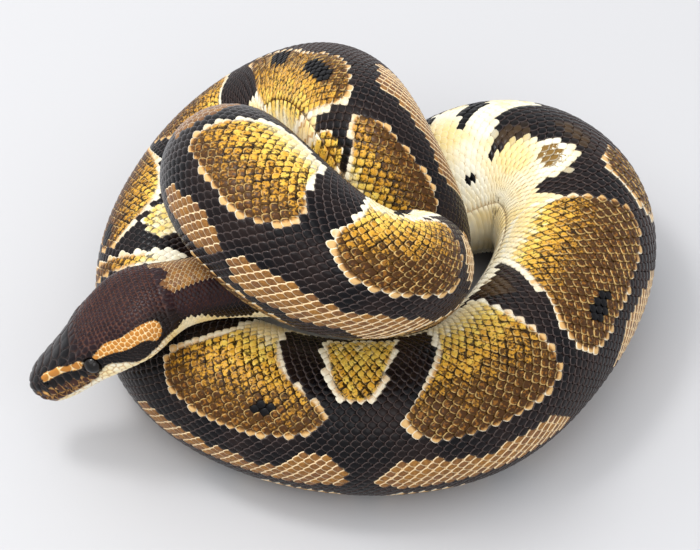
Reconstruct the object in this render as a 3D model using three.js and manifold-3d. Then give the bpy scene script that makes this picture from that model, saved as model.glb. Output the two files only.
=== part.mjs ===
// A ball python resting in a heaped coil, life size, in millimetres, +Z up.
// The body is one swept form along a line through its middle; it is divided across that line into lengths.
import * as THREE from "three";
import Module from "manifold-3d";

const wasm = await Module();
wasm.setup();

// Driving sizes
const gap = 0.3;
const pathStep = 3;
const pathSmoothing = 6;
const ringStep = 8;
const ringSides = 26;
const headRingStep = 3;
const headEnd = 60;
const neckEnd = 112;
const tailStart = 868;
const trunkCount = 11;
const directionReach = 3; // how far to each side the direction of the body is read
const bendReach = 6;
const squeezeShare = 0.94; // how far the inside of a bend may reach toward its centre
const headBlend = [60, 84]; // where the form of the head gives way to the round body
const snoutPlaces = [0.05, 0.5, 1.5];
const curveDivisions = 2000;
const eyeRadius = 3.35;
const eyeAlong = 29.3;
const eyeOut = 12.2;
const eyeUp = 2.6;
const eyeSegments = 16;
const jawFrom = 1.8;
const jawTo = 44;
const jawSectionStep = 7;
const jawSpread = 30;
const jawDrop = 40;
const floorLevel = 0;

// The line through the middle of the body: place, x, y, z, half thickness,
// and how far the back is turned up from facing outward, in degrees.
const route = [
  ["snout", -109, -58, 29, 3, 82],
  ["brow", -89, -57.5, 45.5, 9, 82],
  ["nape", -68, -49, 61, 11.5, 80],
  ["neck", -43, -42, 62, 10.5, 70],
  ["neckUnder", -16, -41, 62, 12.5, 45],
  ["foreUnder", 8, -38, 71, 15, 20],
  ["foreRise", 23, -45, 80, 16.5, 10],
  ["capTurn", 26, -59, 88, 18, 10],
  ["capRight", 15, -69, 95, 20, 15],
  ["capFront", -7, -67, 100, 25, 18],
  ["capLeft", -25, -52, 102, 27, 18],
  ["capEdge", -38, -31, 100, 26, 15],
  ["dropTop", -41, -12, 87, 23, 5],
  ["dropMid", -35.5, -2, 67, 21, 0],
  ["dropLow", -23, 2, 45, 20.7, 0],
  ["innerLow", -8, 10, 28, 22, 0],
  ["innerRise", 14, 22, 24, 23, 0],
  ["backIn", 35, 38, 26.5, 26.5, 0],
  ["backRight", 58, 43, 29, 29, 0],
  ["rightBack", 77, 30, 29, 29.5, 0],
  ["right", 82.5, 7, 28.5, 29, 0],
  ["rightFront", 75.5, -18, 28, 28.5, 0],
  ["frontRight", 61.5, -43, 28, 28, 0],
  ["frontEdge", 44, -63, 27, 27.5, 0],
  ["front", 19, -71, 26.5, 27, 0],
  ["frontMid", -9, -70.5, 26, 26.3, 0],
  ["frontLeft", -34, -61.5, 25.5, 26, 0],
  ["leftFront", -55, -45.5, 24.3, 24.8, 0],
  ["left", -65.5, -21, 24.5, 24.8, 0],
  ["leftMid", -66, 6, 25, 24.7, 0],
  ["leftBack", -58, 31, 25, 24.8, 0],
  ["backLeft", -46, 53.5, 26.5, 24.5, 0],
  ["back", -27, 62, 37, 24.5, 0],
  ["backRise", -11, 53, 54, 23.5, 0],
  ["backTop", -2, 36, 68, 22, 0],
  ["overBack", 6, 15, 76, 21, 0],
  ["dive", 16, -2, 66, 20.5, 0],
  ["diveLow", 26, -13, 49, 19, 0],
  ["vent", 24, -18, 30, 15.5, 0],
  ["tailRoot", 14, -25, 15, 11, 0],
  ["tail", 0, -36, 7, 7, 0],
  ["tip", -13, -44, 2.5, 2.5, 0],
];

// The head: distance back from the snout, half width, height above and depth below the line, squareness.
const headForm = [
  [0, 0.8, 0.8, 0.8, 2.2],
  [1, 4.2, 2.6, 5.4, 2.4],
  [3, 6.4, 4.1, 8.4, 2.5],
  [7, 8.2, 5.5, 10.1, 2.6],
  [14, 9.6, 6.9, 10.7, 2.6],
  [24, 12.0, 9.0, 10.5, 2.5],
  [34, 15.6, 10.7, 10.4, 2.4],
  [44, 18.5, 11.8, 10.8, 2.3],
  [50, 18.4, 12.0, 10.8, 2.2],
  [56, 15.9, 11.8, 10.8, 2.1],
  [62, 13.4, 11.4, 10.8, 2.0],
  [70, 11.9, 11.2, 10.8, 2.0],
  [80, 11.0, 11.0, 10.8, 2.0],
];

// The line of the mouth: distance back from the snout, height from the line through the head.
const mouthLine = [
  [0, -2.2],
  [8, -3.9],
  [18, -4.1],
  [30, -4.3],
  [46, -4.8],
];

function buildPath() {
  const curve = new THREE.CatmullRomCurve3(
    route.map((row) => new THREE.Vector3(row[1], row[2], row[3])),
    false,
    "centripetal",
  );
  curve.arcLengthDivisions = curveDivisions;
  const count = Math.round(curve.getLength() / pathStep);
  const rows = [];
  for (let i = 0; i <= count; i += 1) {
    const t = curve.getUtoTmapping(i / count);
    const station = Math.min(t * (route.length - 1), route.length - 1.0001);
    const k = Math.floor(station);
    const share = station - k;
    const p = curve.getPoint(t);
    const girth = THREE.MathUtils.lerp(route[k][4], route[k + 1][4], share);
    const lift = THREE.MathUtils.lerp(route[k][5], route[k + 1][5], share);
    rows.push([p.x, p.y, p.z, girth, lift]);
  }
  for (let pass = 0; pass < pathSmoothing; pass += 1) {
    smoothRows(rows, [1, 2, 1]);
    smoothRows(rows, [1, 1, 1, 1, 1]);
  }
  return measurePath(rows);
}

function smoothRows(rows, weights) {
  const before = rows.map((row) => row.slice());
  const reach = (weights.length - 1) / 2;
  const total = weights.reduce((sum, w) => sum + w, 0);
  for (let i = reach; i < rows.length - reach; i += 1) {
    for (let c = 0; c < 5; c += 1) {
      let sum = 0;
      weights.forEach((w, k) => {
        sum += w * before[i + k - reach][c];
      });
      rows[i][c] = sum / total;
    }
  }
}

function measurePath(rows) {
  const places = [0];
  for (let i = 1; i < rows.length; i += 1) {
    const step = Math.hypot(
      rows[i][0] - rows[i - 1][0],
      rows[i][1] - rows[i - 1][1],
      rows[i][2] - rows[i - 1][2],
    );
    places.push(places[i - 1] + step);
  }
  return { rows, places, length: places[places.length - 1] };
}

function valuesAt(path, s) {
  const at = THREE.MathUtils.clamp(s, 0, path.length);
  let i = path.places.findIndex((place) => place >= at);
  i = Math.max(i, 1);
  const span = path.places[i] - path.places[i - 1];
  const share = (at - path.places[i - 1]) / span;
  return path.rows[i].map((v, c) => THREE.MathUtils.lerp(path.rows[i - 1][c], v, share));
}

function pointAt(path, s) {
  const row = valuesAt(path, s);
  return new THREE.Vector3(row[0], row[1], row[2]);
}

// Position, forward direction toward the tail, back direction, left direction, half thickness and bend.
function frameAt(path, s) {
  const before = pointAt(path, Math.max(s - directionReach, 0));
  const after = pointAt(path, Math.min(s + directionReach, path.length));
  const along = after.clone().sub(before).normalize();
  const outward = new THREE.Vector3(0, 0, 1).cross(along).normalize();
  const upward = along.clone().cross(outward);
  const values = valuesAt(path, s);
  const lift = THREE.MathUtils.degToRad(values[4]);
  const back = outward.multiplyScalar(Math.cos(lift)).addScaledVector(upward, Math.sin(lift));
  const side = along.clone().cross(back);
  const middle = THREE.MathUtils.clamp(s, bendReach, path.length - bendReach);
  const bend = pointAt(path, middle - bendReach)
    .add(pointAt(path, middle + bendReach))
    .addScaledVector(pointAt(path, middle), -2)
    .divideScalar(bendReach ** 2);
  const centre = new THREE.Vector3(values[0], values[1], values[2]);
  return { centre, along, back, side, girth: values[3], bend };
}

function tableAt(table, s, column) {
  const last = table.length - 1;
  if (s >= table[last][0]) return table[last][column];
  const k = Math.max(table.findIndex((row) => row[0] > s) - 1, 0);
  const slope = (i) => {
    const a = table[Math.max(i - 1, 0)];
    const b = table[Math.min(i + 1, last)];
    return (b[column] - a[column]) / (b[0] - a[0]);
  };
  const span = table[k + 1][0] - table[k][0];
  const t = (s - table[k][0]) / span;
  const a = table[k][column];
  const b = table[k + 1][column];
  const ma = slope(k) * span;
  const mb = slope(k + 1) * span;
  return (2 * a - 2 * b + ma + mb) * t ** 3 + (3 * b - 3 * a - 2 * ma - mb) * t ** 2 + ma * t + a;
}

// A point of the body's surface; angle 0 is the middle of the back, 90 degrees the left side.
function surfacePoint(path, s, angle) {
  const frame = frameAt(path, s);
  const blend = THREE.MathUtils.smoothstep(s, ...headBlend);
  const power = 2 / tableAt(headForm, s, 4);
  const c = Math.cos(angle);
  const d = Math.sin(angle);
  const headUp = tableAt(headForm, s, c > 0 ? 2 : 3) * Math.sign(c) * Math.abs(c) ** power;
  const headOut = tableAt(headForm, s, 1) * Math.sign(d) * Math.abs(d) ** power;
  const up = THREE.MathUtils.lerp(headUp, frame.girth * c, blend);
  const out = THREE.MathUtils.lerp(headOut, frame.girth * d, blend);
  const offset = frame.back.clone().multiplyScalar(up).addScaledVector(frame.side, out);
  const inward = offset.dot(frame.bend);
  if (inward > squeezeShare) offset.multiplyScalar(squeezeShare / inward);
  return frame.centre.add(offset);
}

function ringAt(path, s, shift) {
  const move = frameAt(path, s).along.multiplyScalar(shift);
  return Array.from({ length: ringSides }, (_, k) =>
    surfacePoint(path, s, (2 * Math.PI * k) / ringSides).add(move),
  );
}

function spacedPlaces(from, to, step) {
  const count = Math.max(Math.round((to - from) / step), 2);
  return Array.from({ length: count + 1 }, (_, i) => from + ((to - from) * i) / count);
}

// Each cut face is held half a gap back from the cut, square to the body.
function sweptSolid(path, places, cutBefore = true, cutAfter = true) {
  const points = [];
  const faces = [];
  const end = places.length - 1;
  const shiftOf = (i) => (i === 0 && cutBefore ? gap / 2 : 0) - (i === end && cutAfter ? gap / 2 : 0);
  places.forEach((s, i) => points.push(...ringAt(path, s, shiftOf(i))));
  const n = ringSides;
  for (let i = 0; i + 1 < places.length; i += 1) {
    for (let k = 0; k < n; k += 1) {
      const a = i * n + k;
      const b = i * n + ((k + 1) % n);
      faces.push(a, b, a + n, b, b + n, a + n);
    }
  }
  const last = end * n;
  const middleOf = (i) => pointAt(path, places[i]).addScaledVector(frameAt(path, places[i]).along, shiftOf(i));
  const firstCentre = points.push(middleOf(0)) - 1;
  const lastCentre = points.push(middleOf(end)) - 1;
  for (let k = 0; k < n; k += 1) {
    faces.push(firstCentre, (k + 1) % n, k);
    faces.push(lastCentre, last + k, last + ((k + 1) % n));
  }
  return new wasm.Manifold(
    new wasm.Mesh({
      numProp: 3,
      vertProperties: new Float32Array(points.flatMap((p) => [p.x, p.y, p.z])),
      triVerts: new Uint32Array(faces),
    }),
  );
}

// Everything below the line of the mouth, from near the snout to the corner of the mouth.
function mouthBlock(path, lift, from, to) {
  const places = spacedPlaces(from, to, jawSectionStep);
  const sections = places.map((s) => {
    const frame = frameAt(path, s);
    const line = tableAt(mouthLine, s, 1) + lift;
    const corners = [
      [-jawSpread, line],
      [jawSpread, line],
      [jawSpread, -jawDrop],
      [-jawSpread, -jawDrop],
    ];
    return corners.map(([out, up]) =>
      frame.centre.clone().addScaledVector(frame.side, out).addScaledVector(frame.back, up),
    );
  });
  const blocks = sections.slice(1).map((section, i) =>
    wasm.Manifold.hull([...sections[i], ...section].map((p) => [p.x, p.y, p.z])),
  );
  return wasm.Manifold.union(blocks);
}

function eyeCentre(path, sign) {
  const frame = frameAt(path, eyeAlong);
  return frame.centre
    .clone()
    .addScaledVector(frame.side, sign * eyeOut)
    .addScaledVector(frame.back, eyeUp);
}

function ball(centre, radius) {
  return wasm.Manifold.sphere(radius, eyeSegments).translate([centre.x, centre.y, centre.z]);
}

function toMesh(solid, name) {
  const data = solid.getMesh();
  const positions = new Float32Array(data.numVert * 3);
  for (let i = 0; i < data.numVert; i += 1) {
    for (let c = 0; c < 3; c += 1) positions[3 * i + c] = data.vertProperties[i * data.numProp + c];
  }
  const geometry = new THREE.BufferGeometry();
  geometry.setAttribute("position", new THREE.BufferAttribute(positions, 3));
  geometry.setIndex(new THREE.BufferAttribute(new Uint32Array(data.triVerts), 1));
  const mesh = new THREE.Mesh(geometry);
  mesh.name = name;
  return mesh;
}

const path = buildPath();
const solids = [];

// Head, lower jaw and eyes
const leftEye = eyeCentre(path, 1);
const rightEye = eyeCentre(path, -1);
const headPlaces = [...snoutPlaces, ...spacedPlaces(headRingStep, headEnd, headRingStep)];
const wholeHead = sweptSolid(path, headPlaces, false);
const jaw = wholeHead.intersect(mouthBlock(path, 0, jawFrom, jawTo));
const head = wholeHead
  .subtract(mouthBlock(path, gap, jawFrom - gap, jawTo + gap))
  .subtract(ball(leftEye, eyeRadius + gap))
  .subtract(ball(rightEye, eyeRadius + gap));
solids.push(["head", head], ["lower_jaw", jaw]);
solids.push(["eye_left", ball(leftEye, eyeRadius)], ["eye_right", ball(rightEye, eyeRadius)]);

// Neck, trunk lengths and tail
const trunkLength = (tailStart - neckEnd) / trunkCount;
solids.push(["neck", sweptSolid(path, spacedPlaces(headEnd, neckEnd, ringStep))]);
for (let i = 0; i < trunkCount; i += 1) {
  const from = neckEnd + i * trunkLength;
  solids.push([`trunk_${i + 1}`, sweptSolid(path, spacedPlaces(from, from + trunkLength, ringStep))]);
}
solids.push(["tail", sweptSolid(path, spacedPlaces(tailStart, path.length, ringStep), true, false)]);

// Small flats where the coil rests, then the origin moves to the bottom centre of the whole.
const part = new THREE.Group();
part.name = "ball_python";
solids.forEach(([name, solid]) => {
  part.add(toMesh(solid.trimByPlane([0, 0, 1], floorLevel), name));
});
const bounds = new THREE.Box3().setFromObject(part);
const centre = bounds.getCenter(new THREE.Vector3());
part.children.forEach((mesh) => mesh.position.set(-centre.x, -centre.y, -floorLevel));

export default part;
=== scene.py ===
import math
from functools import partial
import bpy
import numpy as np
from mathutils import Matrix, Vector


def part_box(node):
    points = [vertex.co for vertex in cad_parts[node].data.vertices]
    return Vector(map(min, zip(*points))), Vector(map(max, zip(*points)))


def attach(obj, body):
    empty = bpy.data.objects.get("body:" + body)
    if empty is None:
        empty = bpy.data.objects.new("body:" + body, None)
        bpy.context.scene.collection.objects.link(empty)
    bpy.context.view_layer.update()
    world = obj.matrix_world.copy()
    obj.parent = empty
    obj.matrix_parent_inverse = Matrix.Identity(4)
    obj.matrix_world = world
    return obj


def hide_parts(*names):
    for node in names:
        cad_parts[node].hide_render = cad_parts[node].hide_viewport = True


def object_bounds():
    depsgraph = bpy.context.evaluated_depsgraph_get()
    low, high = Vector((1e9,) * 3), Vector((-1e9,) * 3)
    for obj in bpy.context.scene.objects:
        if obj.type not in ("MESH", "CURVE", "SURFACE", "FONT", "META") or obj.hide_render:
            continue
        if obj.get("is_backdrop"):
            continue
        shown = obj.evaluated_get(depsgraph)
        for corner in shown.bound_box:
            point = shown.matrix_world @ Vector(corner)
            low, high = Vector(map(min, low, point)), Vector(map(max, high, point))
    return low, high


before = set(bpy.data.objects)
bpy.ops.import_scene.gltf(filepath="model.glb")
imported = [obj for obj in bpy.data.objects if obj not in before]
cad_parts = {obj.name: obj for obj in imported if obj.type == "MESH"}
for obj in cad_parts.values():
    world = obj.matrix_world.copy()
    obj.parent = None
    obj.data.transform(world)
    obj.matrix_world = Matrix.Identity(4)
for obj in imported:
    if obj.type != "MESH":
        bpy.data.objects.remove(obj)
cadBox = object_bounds()
rng = np.random.default_rng(41)

# body line: place, x, y, z, half thickness in mm, turn of the back in degrees
bodyLine = [
    ("snout", -109, -58, 29, 3, 82), ("brow", -89, -57.5, 45.5, 9, 82),
    ("nape", -68, -49, 61, 11.5, 80), ("neck", -43, -42, 62, 10.5, 70),
    ("neckUnder", -16, -41, 62, 12.5, 45), ("foreUnder", 8, -38, 71, 15, 20),
    ("foreRise", 23, -45, 80, 16.5, 10), ("capTurn", 26, -59, 88, 18, 10),
    ("capRight", 15, -69, 95, 20, 15), ("capFront", -7, -67, 100, 25, 18),
    ("capLeft", -25, -52, 102, 27, 18), ("capEdge", -38, -31, 100, 26, 15),
    ("dropTop", -41, -12, 87, 23, 5), ("dropMid", -35.5, -2, 67, 21, 0),
    ("dropLow", -23, 2, 45, 20.7, 0), ("innerLow", -8, 10, 28, 22, 0),
    ("innerRise", 14, 22, 24, 23, 0), ("backIn", 35, 38, 26.5, 26.5, 0),
    ("backRight", 58, 43, 29, 29, 0), ("rightBack", 77, 30, 29, 29.5, 0),
    ("right", 82.5, 7, 28.5, 29, 0), ("rightFront", 75.5, -18, 28, 28.5, 0),
    ("frontRight", 61.5, -43, 28, 28, 0), ("frontEdge", 44, -63, 27, 27.5, 0),
    ("front", 19, -71, 26.5, 27, 0), ("frontMid", -9, -70.5, 26, 26.3, 0),
    ("frontLeft", -34, -61.5, 25.5, 26, 0), ("leftFront", -55, -45.5, 24.3, 24.8, 0),
    ("left", -65.5, -21, 24.5, 24.8, 0), ("leftMid", -66, 6, 25, 24.7, 0),
    ("leftBack", -58, 31, 25, 24.8, 0), ("backLeft", -46, 53.5, 26.5, 24.5, 0),
    ("back", -27, 62, 37, 24.5, 0), ("backRise", -11, 53, 54, 23.5, 0),
    ("backTop", -2, 36, 68, 22, 0), ("overBack", 6, 15, 76, 21, 0),
    ("dive", 16, -2, 66, 20.5, 0), ("diveLow", 26, -13, 49, 19, 0),
    ("vent", 24, -18, 30, 15.5, 0), ("tailRoot", 14, -25, 15, 11, 0),
    ("tail", 0, -36, 7, 7, 0), ("tip", -13, -44, 2.5, 2.5, 0),
]

# head: distance back from the snout, half width, height above and depth below the line, squareness
headForm = np.array([
    (0, 0.8, 0.8, 0.8, 2.2), (1, 4.2, 2.6, 5.4, 2.4), (3, 6.4, 4.1, 8.4, 2.5),
    (7, 8.2, 5.5, 10.1, 2.6), (14, 9.6, 6.9, 10.7, 2.6), (24, 12.0, 9.0, 10.5, 2.5),
    (34, 15.6, 10.7, 10.4, 2.4), (44, 18.5, 11.8, 10.8, 2.3), (50, 18.4, 12.0, 10.8, 2.2),
    (56, 15.9, 11.8, 10.8, 2.1), (62, 13.4, 11.4, 10.8, 2.0), (70, 11.9, 11.2, 10.8, 2.0),
    (80, 11.0, 11.0, 10.8, 2.0),
])
mouthLine = np.array([(0, -2.2), (8, -3.9), (18, -4.1), (30, -4.3), (46, -4.8)])

bodySize = {
    "finePoints": 20001,    # points that measure the spline
    "pathStep": 3.0,        # spacing of the points along the body line
    "pathSmoothing": 6,     # rounds
    "frameReach": 3.0,      # how far the direction of the body is read to each side
    "bendReach": 6.0,
    "squeezeShare": 0.94,   # how far the inside of a bend may reach toward its centre
    "headBlend": (60.0, 84.0),
}

# places as (back from the snout, angle), heights and widths in mm
headDetail = {
    "nostril": (10.0, 76.0), "nostrilRim": 0.35, "nostrilDepth": 1.5, "nostrilShade": 0.95,
    "pits": [(4.6, 98), (7.8, 98), (11.4, 98), (15.0, 99)], "pitDepth": 0.45, "pitShade": 0.5,
    "mouthGroove": 0.7, "upperLip": 0.28, "lowerLip": 0.2,
    "canthus": 0.55, "hollow": 0.45, "brow": 0.6, "midGroove": 0.5, "crownSwell": 0.35,
    "socket": 2.2, "lid": 0.5, "reliefEnds": (54, 62),
}

# faces: how far the eye looks sideways, up and forward
eyeSize = {"radius": 3.35, "along": 29.3, "out": 12.2, "up": 2.6, "faces": (0.94, 0.26, 0.2)}
mm = 0.001


def smoothStep(x, low, high):
    t = np.clip((x - low) / (high - low), 0, 1)
    return t * t * (3 - 2 * t)


def hill(x, width):
    return np.exp(-(x / width) ** 2)


# centripetal spline through the named places, as the solids use
def splinePoints(points, t):
    last = len(points) - 1
    k = np.minimum(np.floor(t * last).astype(int), last - 1)
    u = (t * last - k)[:, None]
    padded = np.vstack([2 * points[0] - points[1], points, 2 * points[-1] - points[-2]])
    p0, p1, p2, p3 = padded[k], padded[k + 1], padded[k + 2], padded[k + 3]
    d0 = np.sqrt(np.linalg.norm(p1 - p0, axis=1))[:, None]
    d1 = np.sqrt(np.linalg.norm(p2 - p1, axis=1))[:, None]
    d2 = np.sqrt(np.linalg.norm(p3 - p2, axis=1))[:, None]
    t1 = ((p1 - p0) / d0 - (p2 - p0) / (d0 + d1) + (p2 - p1) / d1) * d1
    t2 = ((p2 - p1) / d1 - (p3 - p1) / (d1 + d2) + (p3 - p2) / d2) * d1
    return p1 + t1 * u + (3 * (p2 - p1) - 2 * t1 - t2) * u**2 + (2 * (p1 - p2) + t1 + t2) * u**3


def buildPath():
    places = np.array([row[1:4] for row in bodyLine], float)
    girthLift = np.array([row[4:6] for row in bodyLine], float)
    fine = np.linspace(0, 1, bodySize["finePoints"])
    steps = np.linalg.norm(np.diff(splinePoints(places, fine), axis=0), axis=1)
    travelled = np.concatenate([[0], np.cumsum(steps)])
    count = int(round(travelled[-1] / bodySize["pathStep"]))
    even = np.interp(np.linspace(0, travelled[-1], count + 1), travelled, fine)
    stations = even * (len(places) - 1)
    extra = [np.interp(stations, np.arange(len(places)), girthLift[:, c]) for c in (0, 1)]
    rows = np.column_stack([splinePoints(places, even)] + extra)
    for _ in range(bodySize["pathSmoothing"]):
        before = rows.copy()
        rows[1:-1] = (before[:-2] + 2 * before[1:-1] + before[2:]) / 4
        before = rows.copy()
        rows[2:-2] = (before[:-4] + before[1:-3] + before[2:-2] + before[3:-1] + before[4:]) / 5
    travelled = np.linalg.norm(np.diff(rows[:, :3], axis=0), axis=1)
    return rows, np.concatenate([[0], np.cumsum(travelled)])


pathRows, pathPlaces = buildPath()
bodyLength = pathPlaces[-1]


def pathAt(s):
    return np.stack([np.interp(s, pathPlaces, pathRows[:, c]) for c in range(5)], -1)


# middle of the body, its direction, its back, its left side, half thickness and bend
def frameAt(s):
    s = np.asarray(s, float)
    reach = bodySize["frameReach"]
    ahead = pathAt(np.clip(s + reach, 0, bodyLength))[..., :3]
    behind = pathAt(np.clip(s - reach, 0, bodyLength))[..., :3]
    along = ahead - behind
    along /= np.linalg.norm(along, axis=-1, keepdims=True)
    outward = np.cross([0, 0, 1.0], along)
    outward /= np.linalg.norm(outward, axis=-1, keepdims=True)
    upward = np.cross(along, outward)
    values = pathAt(s)
    lift = np.radians(values[..., 4])[..., None]
    back = outward * np.cos(lift) + upward * np.sin(lift)
    reach = bodySize["bendReach"]
    middle = np.clip(s, reach, bodyLength - reach)
    bend = pathAt(middle - reach) + pathAt(middle + reach) - 2 * pathAt(middle)
    return values[..., :3], along, back, np.cross(along, back), values[..., 3], bend[..., :3] / reach**2


# smooth curve through one column of a table
def tableAt(table, s, column):
    x, y = table[:, 0], table[:, column]
    last = len(x) - 1
    after = np.minimum(np.arange(last + 1) + 1, last)
    before = np.maximum(np.arange(last + 1) - 1, 0)
    slope = (y[after] - y[before]) / (x[after] - x[before])
    k = np.clip(np.searchsorted(x, s, side="right") - 1, 0, last - 1)
    span = x[k + 1] - x[k]
    t = np.clip((s - x[k]) / span, 0, 1)
    a, b, ma, mb = y[k], y[k + 1], slope[k] * span, slope[k + 1] * span
    value = (2 * a - 2 * b + ma + mb) * t**3 + (3 * b - 3 * a - 2 * ma - mb) * t**2 + ma * t + a
    return np.where(s >= x[-1], y[-1], value)


# surface of the body in mm; angle 0 is the middle of the back, a quarter turn is the left side
def bodyPoint(s, angle):
    s, angle = np.broadcast_arrays(np.asarray(s, float), np.asarray(angle, float))
    centre, _, back, side, girth, bend = frameAt(s)
    blend = smoothStep(s, *bodySize["headBlend"])
    power = 2 / tableAt(headForm, s, 4)
    c, d = np.cos(angle), np.sin(angle)
    height = np.where(c > 0, tableAt(headForm, s, 2), tableAt(headForm, s, 3))
    headUp = height * np.sign(c) * np.abs(c) ** power
    headOut = tableAt(headForm, s, 1) * np.sign(d) * np.abs(d) ** power
    up = headUp * (1 - blend) + girth * c * blend
    out = headOut * (1 - blend) + girth * d * blend
    offset = back * up[..., None] + side * out[..., None]
    inward = (offset * bend).sum(-1)
    share = bodySize["squeezeShare"]
    offset = offset * np.where(inward > share, share / np.maximum(inward, 1e-9), 1.0)[..., None]
    return centre + offset


def bodyNormal(s, angle):
    ds, da = 0.4, 0.03
    s = np.clip(s, ds + 0.05, bodyLength - ds)
    alongStep = bodyPoint(s + ds, angle) - bodyPoint(s - ds, angle)
    roundStep = bodyPoint(s, angle + da) - bodyPoint(s, angle - da)
    normal = np.cross(alongStep, roundStep)
    normal /= np.linalg.norm(normal, axis=-1, keepdims=True) + 1e-12
    outward = bodyPoint(s, angle) - pathAt(s)[..., :3]
    return normal * np.sign((normal * outward).sum(-1, keepdims=True))


def eyeCentre(sign):
    centre, _, back, side = frameAt(eyeSize["along"])[:4]
    return centre + side * sign * eyeSize["out"] + back * eyeSize["up"]


# the frame's origin is the bottom centre of the whole, so the shift to it is read back from an eye
eyeLow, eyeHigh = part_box("eye_left")
frameShift = np.array((eyeLow + eyeHigh) / 2) / mm - eyeCentre(1)
frameShift[2] = 0
print("body line", round(float(bodyLength), 1), "mm, shift", frameShift.round(3))

# markings: outlines as (place along the body in mm, angle round it in degrees)
# gold blotches also give the angles where brown ends and where cream begins
goldBlotches = {
    "capRight": (38, 104, [
        (162, 66), (164, 46), (166, 24), (169, 0), (178, 10), (188, 18), (194, 30), (197, 46), (197, 60),
        (194, 74), (193, 90), (193, 124), (180, 128), (175, 108), (169, 86), (164, 76),
    ]),
    "capTurn": (-60, 78, [
        (141, -10), (143, 20), (147, 50), (151, 75), (157, 96), (164, 110), (172, 114), (181, 104),
        (180, 92), (172, 89), (166, 86), (161, 74), (157, 62), (154, 46), (151, 28), (149, 8), (148, -10),
    ]),
    "capFront": (40, 112, [
        (205, 61), (209, 77), (211, 93), (213, 112), (226, 120), (238, 118), (243, 98), (245, 80),
        (246, 56), (245, 37), (234, 36), (222, 29), (213, 33), (206, 46),
    ]),
    "rightLarge": (76, 132, [
        (459, 76), (458, 60), (460, 46), (466, 36), (476, 33), (487, 30), (497, 26), (506, 24), (512, 32),
        (514, 47), (513, 62), (508, 80), (505, 95), (501, 110), (497, 126), (488, 146), (462, 146),
        (460, 110),
    ]),
    "frontRight": (48, 128, [
        (519.5, 62), (520, 44), (523, 33), (532, 29), (546, 27.5), (558, 26.5), (564, 35), (568, 50),
        (563, 64), (558, 76), (554, 90), (551, 106), (549, 122), (553, 144), (516, 144), (518, 120),
        (520, 100),
    ]),
    "frontSmall": (-10, 156, [
        (563, 130), (565, 110), (569, 88), (571, 76), (575, 62), (580, 59), (585, 61), (589, 74),
        (591, 88), (594, 108), (595, 130),
    ]),
    "frontLeft": (37, 120, [
        (587, 48), (591, 59), (597, 69), (604, 81), (607, 96), (610, 114), (610, 142), (627, 142),
        (627, 122), (628, 106), (631, 91), (636, 75), (640, 58), (640, 44), (636, 32), (627, 25),
        (616, 24), (606, 25), (596, 31), (590, 39),
    ]),
    "leftBack": (38, 92, [
        (685, 40), (688, 54), (692, 66), (697, 75), (703, 82), (711, 80), (718, 70), (724, 55), (730, 38),
        (735, 16), (730, 0), (708, 4), (690, 20),
    ]),
    "backLow": (48, 98, [
        (733, 20), (732, 60), (738, 96), (748, 104), (760, 92), (765, 74), (767, 58), (764, 40),
        (758, 18),
    ]),
    "backTop": (94, 180, [
        (775, 66), (779, 90), (782, 105), (787, 124), (792, 143), (797, 158), (801, 176), (810, 196),
        (824, 194), (832, 166), (834, 152), (836, 140), (839, 122), (839, 106), (836, 96), (830, 88),
        (824, 86), (817, 92), (812, 98), (806, 100), (799, 92), (790, 84), (782, 72),
    ]),
    "backRight": (98, 156, [
        (844, 118), (843, 104), (846, 94), (851, 86), (858, 80), (866, 78), (873, 84), (874, 100),
        (871, 116), (868, 132), (864, 146), (860, 160), (854, 158), (851, 140), (848, 128),
    ]),
    "backOlive": (70, 216, [
        (834, 190), (838, 160), (842, 143), (845, 134), (849, 141), (853, 154), (852, 176), (846, 194),
    ]),
    "loopSpot": (-70, 120, [
        (682, 90), (685, 100), (692, 104), (699, 94), (700, 82), (694, 73), (686, 76),
    ]),
    "neck": (20, 128, [(85, 66), (88, 84), (94, 100), (103, 98), (106, 76), (99, 56), (91, 54)]),
    "loopStripe": (34, 92, [
        (682, -8), (679, 20), (676, 45), (672.5, 69), (670, 100), (674, 112), (678, 98), (679, 69),
        (682, 45), (685, 20), (689, -8),
    ]),
    "rightUpper": (90, 300, [
        (437, 48), (438, 57), (441, 63), (446, 66), (450, 62), (454, 50), (456, 36), (456, 22), (452, 12),
        (446, 12), (441, 24), (438, 36),
    ]),
}
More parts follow.
